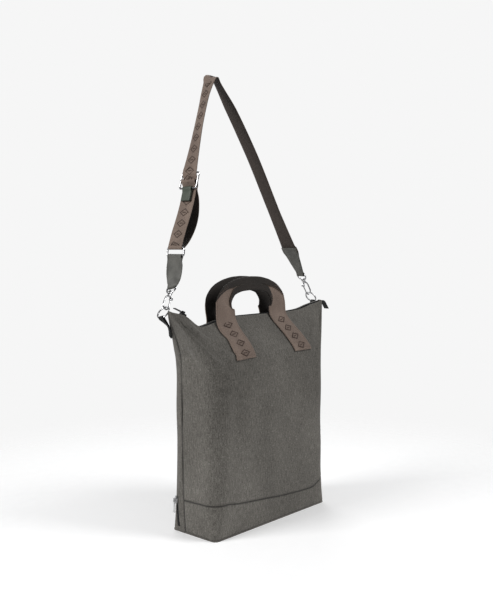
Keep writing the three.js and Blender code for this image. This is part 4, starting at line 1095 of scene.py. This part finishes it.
# %% Stations of a band
def band_rings(node):
    """The stations of a band in order, each with four corners, and whether it is closed."""
    points, links, pairs = linked_points(node)
    found = []
    for ring in pairs:
        rings, seen = walk(links, ring, set())
        if len(seen) == len(points) and all(len(r) == 4 for r in rings):
            found.append([points[sorted(r)] for r in rings])
    if found:
        return min(found, key=thickest), False
    mates = [nearest(points, i) for i in range(len(points))]
    for ring in ({v, mates[v], w, mates[w]} for v in range(len(points)) for w in links[v]):
        around = beyond(links, ring, ring)
        if len(around) != 8:
            continue
        after, before = split_in_two(links, around)
        if len(after) != 4 or len(before) != 4:
            continue
        rings, seen = walk(links, after, ring | before)
        if len(seen) == len(points) and all(len(r) == 4 for r in rings):
            return [points[sorted(r)] for r in [ring, *rings, before]], True
    raise ValueError(node + " is not a band")


def band_path(node):
    """Rows of centre, direction across, normal, width and thickness along a band."""
    rings, closed = band_rings(node)
    rows = []
    across, normal = None, None
    for ring in rings:
        gaps = np.linalg.norm(ring[0] - ring[1:], axis=1)
        mate = 1 + int(np.argmin(gaps))
        others = [i for i in (1, 2, 3) if i != mate]
        first = (ring[0] + ring[mate]) / 2
        second = (ring[others[0]] + ring[others[1]]) / 2
        new_across = second - first
        new_normal = ring[0] - ring[mate]
        width, thickness = np.linalg.norm(new_across), np.linalg.norm(new_normal)
        new_across, new_normal = new_across / width, new_normal / thickness
        if across is not None and new_across @ across < 0:
            new_across = -new_across
        if normal is not None and new_normal @ normal < 0:
            new_normal = -new_normal
        across, normal = new_across, new_normal
        rows.append([*ring.mean(axis=0), *across, *normal, width, thickness])
    return np.array(rows), closed


print("stations of the strap:", len(band_path("strap_webbing")[0]))

# %% [markdown]
# A band could be a curve with a bevel, but then its width couldn't change without its thickness, and its two
# faces couldn't have two materials. So the band is swept here: a flat section with round edges is set up at
# each station and joined to the next.

# %% The section of a band
EDGE_POINTS = 5
FACE_SHARES = (0.66, 0.33, 0.0, -0.33, -0.66)


def band_profile(width, thickness):
    """Offsets across and along the normal, once round a flat section with round edges."""
    radius = thickness / 2
    flat = width / 2 - radius
    ends = np.linspace(-math.pi / 2, math.pi / 2, EDGE_POINTS)
    right = [(flat + radius * math.cos(a), radius * math.sin(a)) for a in ends]
    left = [(-flat - radius * math.cos(a), -radius * math.sin(a)) for a in ends]
    upper = [(flat * share, radius) for share in FACE_SHARES]
    lower = [(-flat * share, -radius) for share in FACE_SHARES]
    return np.array(right + upper + left + lower)


def thick_edges(share):
    """Woven edges stand a little proud of the middle of the band."""
    return 0.86 + 0.14 * smooth(0.72, 0.9, np.abs(share))


print("points round a band:", len(band_profile(38 * MM, 2 * MM)))

# %% Sweep a band
def unit(vectors):
    """The same directions, each with a length of 1."""
    return vectors / np.linalg.norm(vectors, axis=-1, keepdims=True)


def squared(rows):
    """The same stations with across and normal at right angles to the path and each other."""
    tangent = unit(np.gradient(rows[:, :3], axis=0))
    across = rows[:, 3:6] - (rows[:, 3:6] * tangent).sum(axis=1, keepdims=True) * tangent
    rows[:, 3:6] = unit(across)
    normal = np.cross(tangent, rows[:, 3:6])
    rows[:, 6:9] = normal * np.sign((normal * rows[:, 6:9]).sum(axis=1, keepdims=True))
    return rows


def turn_outwards(piece):
    """Turns the faces round if the piece is inside out."""
    mesh = bmesh.new()
    mesh.from_mesh(piece.data)
    if mesh.calc_volume(signed=True) < 0:
        bmesh.ops.reverse_faces(mesh, faces=mesh.faces)
    mesh.to_mesh(piece.data)
    mesh.free()


def band_piece(name, node, material, slot, step, swell=None, reshape=None, back=None, faces_of=None):
    """A smooth band along the path of a CAD band, with a UV map in metres.

    The reshape function may change the stations. Where faces_of gives 1, the side away from the normal has
    the back material, and where it gives -1, the other side has it.
    """
    rough, closed = band_path(node)
    rows = squared(refined(rough, step, closed))
    if reshape is not None:
        rows = squared(reshape(rows))
    stations = []
    for row in rows:
        profile = band_profile(row[9], row[10])
        lift = profile[:, 1] if swell is None else profile[:, 1] * swell(profile[:, 0] / (row[9] / 2))
        stations.append(row[:3] + profile[:, :1] * row[3:6] + lift[:, None] * row[6:9])
    stations = np.array(stations)
    count, sides = stations.shape[:2]
    number = np.arange(count * sides).reshape(count, sides)
    around = np.r_[0, np.cumsum(np.linalg.norm(np.diff(profile, axis=0), axis=1))]
    around = np.r_[around, around[-1] + np.linalg.norm(profile[0] - profile[-1])]
    centre_steps = np.linalg.norm(np.diff(rows[:, :3], axis=0), axis=1)
    along = np.r_[0, np.cumsum(centre_steps)]
    faces, uvs, lower = [], [], []
    brown = np.ones(count) if faces_of is None else faces_of(rows)
    for i in range(count if closed else count - 1):
        j = (i + 1) % count
        v_low, v_high = along[i], along[i] + (step if j == 0 else along[j] - along[i])
        for k in range(sides):
            m = (k + 1) % sides
            faces.append((number[i, k], number[i, m], number[j, m], number[j, k]))
            lower.append(int((profile[k, 1] + profile[m, 1]) * brown[i] < 0))
            uvs += [(around[k], v_low), (around[k + 1], v_low), (around[k + 1], v_high), (around[k], v_high)]
    if not closed:
        for end in (number[0][::-1], number[-1]):
            faces.append(tuple(end))
            uvs += [(0, 0)] * sides
    piece = new_piece(name, stations.reshape(-1, 3), faces, None, material)
    layer = piece.data.uv_layers.new(name="cloth")
    layer.data.foreach_set("uv", np.array(uvs).ravel())
    if back is not None:
        piece.data.materials.append(back)
        piece.data.polygons.foreach_set("material_index", lower + [0] * (len(faces) - len(lower)))
    turn_outwards(piece)
    finish_piece(piece, "root", slot, node)
    return rows


# %% [markdown]
# The strap is held up by its apex, where the band is tipped so that its far edge is higher. On the left it
# comes down with its brown face to the viewer, passes through the slider and makes a loop that shows the
# underside, darkened there with painted shade. The solid's stations give the route, and a few changes to them
# give this hang: the directions across are smoothed near the apex, and the back run of the loop bows a little
# less.

# %% How the strap hangs
APEX_START = 0.79
APEX_TIP = 0.34
APEX_ROUNDS = 40
LOOP_BOW = 0.72
LOOP_TURN = 4
FRONT_LEFT = np.array([-1.0, -1.0, 0.0])


def in_slider(rows):
    """The station where the strap, on its way down from the apex, is in the middle of the slider."""
    slider_low, slider_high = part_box("strap_slider")
    middle = (slider_low.z + slider_high.z) / 2
    crown = int(np.argmax(rows[:, 2]))
    return next(i for i in range(crown, len(rows)) if rows[i, 2] < middle)


def strap_faces(rows):
    """1 where a station's normal is on the webbing's brown face, else -1; it changes over in the slider."""
    crown = int(np.argmax(rows[:, 2]))
    changed = in_slider(rows)
    brown = np.sign(rows[(crown + changed) // 2, 6:9] @ FRONT_LEFT)
    return np.where(np.arange(len(rows)) < changed, brown, -brown)


def settled(rows):
    """Starts the rows at the right tab, tips the band at its apex and flattens the loop's back run."""
    if rows[0, 0] < rows[-1, 0]:
        rows = rows[::-1].copy()
    crown = int(np.argmax(rows[:, 2]))
    far = np.sign(rows[crown, 4])
    top = in_slider(rows)
    foot = top + int(np.argmin(rows[top:, 2])) - LOOP_TURN
    top += LOOP_TURN
    share = np.linspace(0, 1, foot - top)[:, None]
    chord = (1 - share) * rows[top, :3] + share * rows[foot, :3]
    rows[top:foot, :3] = LOOP_BOW * rows[top:foot, :3] + (1 - LOOP_BOW) * chord
    for _ in range(APEX_ROUNDS):
        high = rows[:, 2] > APEX_START
        soft = rows[:, 3:6].copy()
        soft[1:-1] = (rows[:-2, 3:6] + 2 * rows[1:-1, 3:6] + rows[2:, 3:6]) / 4
        rows[high, 3:6] = soft[high]
    rows[:, 5] += far * APEX_TIP * smooth(APEX_START, rows[crown, 2], rows[:, 2])
    return rows


STRAP_STEP = 2.5 * MM
# The strap's underside, seen in the loop, gets the darkened webbing finish: painted shade.
strap_rows = band_piece("strap_webbing_woven", "strap_webbing", WEBBING, "webbing", STRAP_STEP,
                        swell=thick_edges, reshape=settled, back=WEBBING_UNDERSIDE_PAINTED_SHADE, faces_of=strap_faces)
print("strap length, mm:", round(np.linalg.norm(np.diff(strap_rows[:, :3], axis=0), axis=1).sum() / MM))

# %% Leather tabs and cloth loops
TAB_STEP = 1.5 * MM
SMALL_TAB_STEP = 1.2 * MM
right_tab_rows = band_piece("leather_tab_right_sewn", "leather_tab_right", LEATHER, "leather", TAB_STEP)
left_tab_rows = band_piece("leather_tab_left_sewn", "leather_tab_left", LEATHER, "leather", TAB_STEP)
slider_tab_rows = band_piece("slider_tab_sewn", "slider_tab", DARK_LEATHER, "leather", SMALL_TAB_STEP)
for name, node in (
    ("ring_tab_left_woven", "ring_tab_left"),
    ("ring_tab_right_woven", "ring_tab_right"),
    ("zip_end_tab_folded", "zip_end_tab"),
):
    loop_rows = band_piece(name, node, TAPE, "zip_and_tape", TAB_STEP)
    print(name, "stations:", len(loop_rows))

# %% [markdown]
# Stitches, zip coils and the raised pattern of the webbing repeat along a path. One Geometry Nodes tree
# makes them all: it resamples the path at the given spacing, turns each copy of a small shape so that it
# lies along the path and stands on the cloth, and realizes the copies. The path is a line mesh whose points
# carry the direction away from the cloth as an attribute.

# %% A tree that repeats a shape along a path
class TreeMaker:
    """Adds nodes to a Geometry Nodes tree: the settings first, then the values or links of the sockets."""

    def __init__(self, name):
        self.tree = bpy.data.node_groups.new(name, "GeometryNodeTree")

    def node(self, kind, settings=None, sockets=None, out=0):
        node = self.tree.nodes.new(kind)
        for key, value in (settings or {}).items():
            setattr(node, key, value)
        for key, value in (sockets or {}).items():
            socket = node.inputs[key]
            if isinstance(value, bpy.types.NodeSocket):
                self.tree.links.new(value, socket)
            else:
                socket.default_value = value
        return node.outputs[out] if len(node.outputs) else node


def stitch_shape(maker):
    """A bead, which the sizes stretch to a stitch, a bar or a turn of a coil."""
    return maker.node("GeometryNodeMeshIcoSphere", {}, {"Radius": 0.5, "Subdivisions": 2})


def ring_line(maker, corners, radius):
    sizes = {"Resolution": corners, "Radius": radius}
    return maker.node("GeometryNodeCurvePrimitiveCircle", {"mode": "RADIUS"}, sizes)


def lozenge_shape(maker):
    """A frame with four corners, made of a round bead."""
    parts = {"Curve": ring_line(maker, 4, 0.5), "Profile Curve": ring_line(maker, 8, 0.075)}
    return maker.node("GeometryNodeCurveToMesh", {}, parts)


def repeat_tree(name, shape):
    """A tree that sets copies of a shape along a path, at a spacing and of a size that are its inputs."""
    maker = TreeMaker(name)
    face = maker.tree.interface
    face.new_socket("Path", in_out="INPUT", socket_type="NodeSocketGeometry")
    for label in ("Spacing", "Length", "Width", "Height"):
        face.new_socket(label, in_out="INPUT", socket_type="NodeSocketFloat")
    face.new_socket("Material", in_out="INPUT", socket_type="NodeSocketMaterial")
    face.new_socket("Copies", in_out="OUTPUT", socket_type="NodeSocketGeometry")
    given = maker.tree.nodes.new("NodeGroupInput").outputs
    curve = maker.node("GeometryNodeMeshToCurve", {}, {"Mesh": given["Path"]})
    spaced_out = {"Curve": curve, "Length": given["Spacing"]}
    resampled = maker.node("GeometryNodeResampleCurve", {"mode": "LENGTH"}, spaced_out)
    tangent = maker.node("GeometryNodeInputTangent")
    outward = maker.node(
        "GeometryNodeInputNamedAttribute", {"data_type": "FLOAT_VECTOR"}, {"Name": "outward"},
    )
    along = maker.node("FunctionNodeAlignRotationToVector", {"axis": "X"}, {"Vector": tangent})
    turned = maker.node(
        "FunctionNodeAlignRotationToVector", {"axis": "Z", "pivot_axis": "X"},
        {"Rotation": along, "Vector": outward},
    )
    size = maker.node(
        "ShaderNodeCombineXYZ", {}, {0: given["Length"], 1: given["Width"], 2: given["Height"]},
    )
    copies = maker.node(
        "GeometryNodeInstanceOnPoints", {},
        {"Points": resampled, "Instance": shape(maker), "Rotation": turned, "Scale": size},
    )
    realized = maker.node("GeometryNodeRealizeInstances", {}, {"Geometry": copies})
    coloured = maker.node(
        "GeometryNodeSetMaterial", {}, {"Geometry": realized, "Material": given["Material"]},
    )
    result = maker.tree.nodes.new("NodeGroupOutput")
    maker.tree.links.new(coloured, result.inputs["Copies"])
    return maker.tree


STITCH_TREE = repeat_tree("stitches along a path", stitch_shape)
LOZENGE_TREE = repeat_tree("lozenges along a path", lozenge_shape)
print("tree nodes:", len(STITCH_TREE.nodes), "and", len(LOZENGE_TREE.nodes))

# %% Run the tree and keep a plain mesh
def repeated(name, tree, paths, sizes, material, slot, nodes=()):
    """Runs the tree on one or more paths and keeps the result as a plain mesh."""
    points, edges, outwards = [], [], []
    for path, outward in paths:
        start = len(points)
        points += [tuple(p) for p in path]
        outwards += [tuple(o) for o in np.broadcast_to(outward, np.shape(path))]
        edges += [(start + i, start + i + 1) for i in range(len(path) - 1)]
    line = bpy.data.meshes.new(name)
    line.from_pydata(points, edges, [])
    attribute = line.attributes.new("outward", "FLOAT_VECTOR", "POINT")
    attribute.data.foreach_set("vector", np.array(outwards, float).ravel())
    piece = bpy.data.objects.new(name, line)
    bpy.context.scene.collection.objects.link(piece)
    modifier = piece.modifiers.new("copies", "NODES")
    modifier.node_group = tree
    values = dict(sizes, Material=material)
    for socket in tree.interface.items_tree:
        if socket.in_out == "INPUT" and socket.name in values:
            modifier[socket.identifier] = values[socket.name]
    plain = bpy.data.meshes.new_from_object(piece.evaluated_get(bpy.context.evaluated_depsgraph_get()))
    piece.modifiers.remove(modifier)
    piece.data = plain
    plain.polygons.foreach_set("use_smooth", [True] * len(plain.polygons))
    finish_piece(piece, "root", slot, *nodes)
    print(name, "faces:", len(plain.polygons))


# %% [markdown]
# Topstitching runs a few millimetres beside the seams of the bag. Each row is a line on the skin, lifted by
# half a thread, and the thread is only a little lighter than the cloth, as on the real bag.

# %% Topstitching on the cloth
STITCH = dict(Spacing=3.4 * MM, Length=2.7 * MM, Width=0.6 * MM, Height=0.45 * MM)
SEAM_MARGIN = 3.2 * MM


def skin_row(girths, heights, lift=0.1 * MM):
    """A line on the skin, lifted from it, and the direction away from the bag along the line."""
    girths, heights = np.broadcast_arrays(np.asarray(girths, float), np.asarray(heights, float))
    outward = outward_at(skin, girths, heights)
    return skin(girths, heights) + outward * lift, outward


def beside(girth, heights, distance):
    """Girths that lie a distance beside a seam at each height."""
    return np.array([girth + distance / girth_step(girth, h) for h in heights])


STITCH_TOP = 0.985
ROW_END = 0.02
TOP_STITCH_DROP = 5 * MM

front_heights = np.linspace(0.17, STITCH_TOP, 140)
side_rows = [
    skin_row(beside(seam, front_heights, -math.copysign(SEAM_MARGIN, seam)), front_heights)
    for seam in (-FRONT_SEAM, FRONT_SEAM)
]
band_girths = np.linspace(-FRONT_SEAM + ROW_END, FRONT_SEAM - ROW_END, 240)
band_rows = [skin_row(band_girths, band_seam_height(band_girths) + SEAM_MARGIN / BAG_HEIGHT)]
top_height = 1 - TOP_STITCH_DROP / BAG_HEIGHT
top_rows = [
    skin_row(np.linspace(start, end, 260), top_height) for start, end in ((-0.99, 0.99), (2.01, 3.99))
]
strip_heights = np.linspace(0.18, STITCH_TOP, 130)
strip_rows = [
    skin_row(beside(girth, strip_heights, distance), strip_heights)
    for girth, distance in ((BACK_SEAM, SEAM_MARGIN), (GIRTH_TURN - BACK_SEAM, -SEAM_MARGIN))
]
repeated("cloth_stitches_front", STITCH_TREE, side_rows + band_rows, STITCH, CLOTH_THREAD, "body_cloth")
repeated("cloth_stitches_top", STITCH_TREE, top_rows + strip_rows, STITCH, CLOTH_THREAD, "body_cloth")

# %% [markdown]
# Each leg of a handle is sewn down along both edges, with two rows of stitches across its foot and two more
# where it folds. The rows follow the handle's own grid of points, lifted by half the webbing, so the thread
# lies on the webbing wherever that goes.

# %% Stitching on the handles
HANDLE_STITCH = dict(Spacing=3.2 * MM, Length=2.5 * MM, Width=0.65 * MM, Height=0.5 * MM)
EDGE_SHARE = 0.88
FOOT_ROW = 2
HEAD_ROW = 46
CROSS_ROWS = (FOOT_ROW, FOOT_ROW + 4, HEAD_ROW - 2, HEAD_ROW)


def handle_rows(sides, facing):
    """Rows up both edges of each leg, two across its foot and two across it above the bag."""
    rows = []
    for half in sides:
        points = half[:HEAD_ROW + 1]
        columns = points.shape[1]
        outer = int(round((1 - EDGE_SHARE) / 2 * (columns - 1)))
        middle = points[:, columns // 2]
        away = np.cross(np.diff(middle, axis=0), points[1:, -1] - points[1:, 0])
        away = np.concatenate([away[:1], away])
        away /= np.linalg.norm(away, axis=1, keepdims=True)
        away *= np.sign(away[:, 1:2] * facing + 1e-9)
        lift = away * (HANDLE_THICKNESS / 2)
        sewn = slice(FOOT_ROW, HEAD_ROW)
        for column in (outer, columns - 1 - outer):
            rows.append((points[sewn, column] + lift[sewn], away[sewn]))
        for row in CROSS_ROWS:
            rows.append((points[row, outer:columns - outer] + lift[row], away[row]))
    return rows


HANDLES = (("handle_front", front_handle, -1), ("handle_back", back_handle, 1))
for name, sides, facing in HANDLES:
    stitch_rows = handle_rows(sides, facing)
    repeated(name + "_stitches", STITCH_TREE, stitch_rows, HANDLE_STITCH, BROWN_THREAD, "webbing")

# %% [markdown]
# The webbing has a raised pattern in a darker yarn: a lozenge with a short bar in it, one after another. Each
# lozenge is a frame of round bead, stretched flat by the tree's sizes and sunk into the band, so that only a
# low relief shows. The bars use the stitch tree with a wider, flatter bead.

# %% Raised lozenges and bars on the webbing
LOZENGE = dict(Spacing=21 * MM, Length=14 * MM, Width=22 * MM, Height=9 * MM)
BAR = dict(Spacing=21 * MM, Length=2.2 * MM, Width=11 * MM, Height=1.6 * MM)
PATTERN_MARGIN = 12 * MM
HANDLE_PATTERN = 78 * MM
PATTERN_EDGE = 3
RELIEF_LIFT = 0.35 * MM
LINE_STEP = 2 * MM


def band_line(rows, side, offset=0.0):
    """The line along a band on one of its faces, with that face's outward direction."""
    outward = rows[:, 6:9] * side
    return rows[:, :3] + outward * (rows[:, 10:11] / 2) + rows[:, 3:6] * offset, outward


def trimmed(line, start, end):
    """The part of a line, with its outward directions, between two lengths along it."""
    points, outward = line
    along = np.r_[0, np.cumsum(np.linalg.norm(np.diff(points, axis=0), axis=1))]
    places = np.arange(start, min(end, along[-1]), LINE_STEP)
    cut = [
        np.stack([np.interp(places, along, part[:, k]) for k in range(3)], axis=1)
        for part in (points, outward)
    ]
    return cut[0], unit(cut[1])


def handle_lines(sides, facing):
    """The middle line up each leg, on the outer face."""
    lines = []
    for points in sides:
        middle = points[:, points.shape[1] // 2]
        across = points[:, -1 - PATTERN_EDGE] - points[:, PATTERN_EDGE]
        outward = unit(np.cross(np.gradient(middle, axis=0), across))
        outward *= np.sign(outward[:, 1:2] * facing)
        lines.append((middle + outward * (HANDLE_THICKNESS / 2 + RELIEF_LIFT), outward))
    return lines


strap_line = band_line(strap_rows, strap_faces(strap_rows)[:, None])
strap_end = np.linalg.norm(np.diff(strap_line[0], axis=0), axis=1).sum()
for name, tree, sizes in (("lozenges", LOZENGE_TREE, LOZENGE), ("bars", STITCH_TREE, BAR)):
    strap_part = trimmed(strap_line, PATTERN_MARGIN, strap_end)
    repeated("strap_" + name, tree, [strap_part], sizes, RELIEF, "webbing")
    for handle_name, sides, facing in HANDLES:
        lines = [trimmed(line, PATTERN_MARGIN, HANDLE_PATTERN) for line in handle_lines(sides, facing)]
        repeated(handle_name + "_" + name, tree, lines, sizes, RELIEF, "webbing")

# %% [markdown]
# The leather tabs are folded round their bars and sewn along both edges, through both layers. The stations
# of each tab give the rows: a line along each edge, on each face.

# %% Stitching on the leather tabs
LEATHER_STITCH = dict(Spacing=2.9 * MM, Length=2.2 * MM, Width=0.6 * MM, Height=0.45 * MM)


def tab_rows(rows, margin):
    """Lines along both edges of a tab, on both faces."""
    inset = rows[:, 9:10] / 2 - margin
    return [band_line(rows, face, edge * inset) for face in (1, -1) for edge in (-1, 1)]


for name, rows, margin in (
    ("leather_tab_right_stitches", right_tab_rows, 2.6 * MM),
    ("leather_tab_left_stitches", left_tab_rows, 2.6 * MM),
    ("slider_tab_stitches", slider_tab_rows, 2.2 * MM),
):
    repeated(name, STITCH_TREE, tab_rows(rows, margin), LEATHER_STITCH, GREEN_THREAD, "leather")

# %% [markdown]
# The top zip closes the mouth: a black tape between the two panels, with a coil of small nylon turns along
# its middle. Each turn is one stretched bead from the same tree, set close together across the tape.

# %% Top zip
MOUTH_REACH = 0.965
SLIDER_PLACE = -188 * MM
SLIDER_HALF = 6.5 * MM
COIL_TURN = dict(Spacing=1.15 * MM, Length=0.8 * MM, Width=3.3 * MM, Height=1.7 * MM)
TAPE_COLUMNS = 170
TAPE_ROWS = 7


def mouth_edge(share, front):
    """The inner edge of the mouth at a share of its length, on the front or back panel."""
    girth = share if front else 3 - share
    height = np.ones_like(girth)
    return skin(girth, height) - outward_at(skin, girth, height) * CLOTH_WALL


def top_zip():
    """The tape from edge to edge of the mouth, and the coil to the right of the slider."""
    shares = np.linspace(-MOUTH_REACH, MOUTH_REACH, TAPE_COLUMNS)
    front, back = mouth_edge(shares, True), mouth_edge(shares, False)
    cross = np.linspace(0, 1, TAPE_ROWS)[None, :, None]
    gap = np.array([0, SEAM_GAP, 0])
    points = (front + gap)[:, None] * (1 - cross) + (back - gap)[:, None] * cross
    uvs = np.stack([lengths_along(points, 0), lengths_along(points, 1)], axis=-1)
    tape = grid_piece("top_zip_tape_black", points, uvs, TAPE)
    thicken(tape, TAPE_THICKNESS, -1)
    finish_piece(tape, "root", "zip_and_tape", "top_zip_tape")
    middle = (front + back) / 2
    coil = middle[middle[:, 0] > SLIDER_PLACE + SLIDER_HALF]
    line = coil + np.array([0, 0, SEAM_GAP + COIL_TURN["Height"] / 2])
    repeated("top_zip_coil_turns", STITCH_TREE, [(line, (0, 0, 1))], COIL_TURN, COIL, "zip_and_tape",
             nodes=("top_zip_coil",))


top_zip()

# %% Coil of the side zip
SIDE_COIL_TURN = dict(COIL_TURN, Width=2.8 * MM, Height=1.2 * MM)
SIDE_COIL_SINK = 0.2 * MM
side_coil_heights = np.linspace(SIDE_ZIP_FOOT + 1 * MM, SIDE_ZIP_TOP - 12 * MM, 40) / BAG_HEIGHT
side_coil = skin_row(ZIP_GIRTH, side_coil_heights, -SIDE_COIL_SINK)
repeated("side_zip_coil_turns", STITCH_TREE, [side_coil], SIDE_COIL_TURN, COIL, "zip_and_tape")

# %% [markdown]
# The hardware is cast and polished. Its solids have the true shape with eight-sided wires. A fine voxel
# remesh followed by a little smoothing rounds those wires and melts the joints together, as casting and
# tumbling do, and keeps every eye, slot and pin where it is.

# %% Cast and polished hardware
def cast_copy(node, body, voxel, rounds, finish):
    """A rounded copy of a solid, with voxels of that size and that many rounds of polish."""
    mesh = bmesh.new()
    mesh.from_mesh(frame["nodes"][node].data)
    bmesh.ops.remove_doubles(mesh, verts=mesh.verts, dist=MERGE)
    data = bpy.data.meshes.new(node + "_cast")
    mesh.to_mesh(data)
    mesh.free()
    piece = bpy.data.objects.new(node + "_cast", data)
    bpy.context.scene.collection.objects.link(piece)
    remesh = piece.modifiers.new("cast", "REMESH")
    remesh.mode = "VOXEL"
    remesh.voxel_size = voxel
    polish = piece.modifiers.new("polish", "SMOOTH")
    polish.factor = 0.5
    polish.iterations = rounds
    plain = bpy.data.meshes.new_from_object(piece.evaluated_get(bpy.context.evaluated_depsgraph_get()))
    piece.modifiers.clear()
    piece.data = plain
    plain.materials.clear()
    plain.materials.append(finish)
    plain.polygons.foreach_set("use_smooth", [True] * len(plain.polygons))
    finish_piece(piece, body, "hardware", node)
    return len(plain.polygons)


BODIES = {node: body for body, nodes in frame["record"]["behaviour"]["bodies"].items() for node in nodes}
CASTINGS = [
    dict(voxel=0.34 * MM, rounds=5, finish=METAL, nodes=[
        "hook_left", "hook_right", "swivel_eye_left", "swivel_eye_right", "hook_gate_left", "hook_gate_right",
    ]),
    dict(voxel=0.42 * MM, rounds=6, finish=METAL, nodes=[
        "ring_left", "ring_right", "strap_ring", "strap_slider",
    ]),
    dict(voxel=0.20 * MM, rounds=2, finish=BLACK_METAL, nodes=["top_zip_slider", "top_zip_pull"]),
    dict(voxel=0.20 * MM, rounds=2, finish=METAL, nodes=["side_zip_slider", "side_zip_pull"]),
]
for casting in CASTINGS:
    for node in casting["nodes"]:
        faces = cast_copy(node, BODIES[node], casting["voxel"], casting["rounds"], casting["finish"])
        print(node, "faces:", faces)

# %% [markdown]
# The floor is a pale plane that catches the soft shadow under the bag and fades into the backdrop further
# out, as the sweep of a photographer's paper does.

# %% Studio floor
FLOOR_SIZE = 8.0
FADE_START = 0.30
FADE_END = 1.10


def studio_floor():
    finish = Finish("pale studio floor")
    place = finish.node("ShaderNodeTexCoord", out="Object")
    grain = finish.noise(place, 40.0, 2.0)
    colour = finish.ramp(grain, (0.2, (0.90, 0.90, 0.90)), (0.8, (0.93, 0.93, 0.93)))
    x, y, _ = finish.parts(place)
    reach = (x ** 2 + y ** 2) ** 0.5
    fade = 1 - finish.step(reach, FADE_START, FADE_END)
    material = finish.surface(
        Base_Color=colour,
        Roughness=0.9,
        Specular_IOR_Level=0.1,
        Emission_Color=(1, 1, 1, 1),
        Emission_Strength=0.16,
        Alpha=fade,
    )
    half = FLOOR_SIZE / 2
    corners = [(-half, -half, 0), (half, -half, 0), (half, half, 0), (-half, half, 0)]
    plane = new_piece("studio_floor", corners, [(0, 1, 2, 3)], None, material, smooth_faces=False)


studio_floor()
print("studio floor, m:", FLOOR_SIZE)
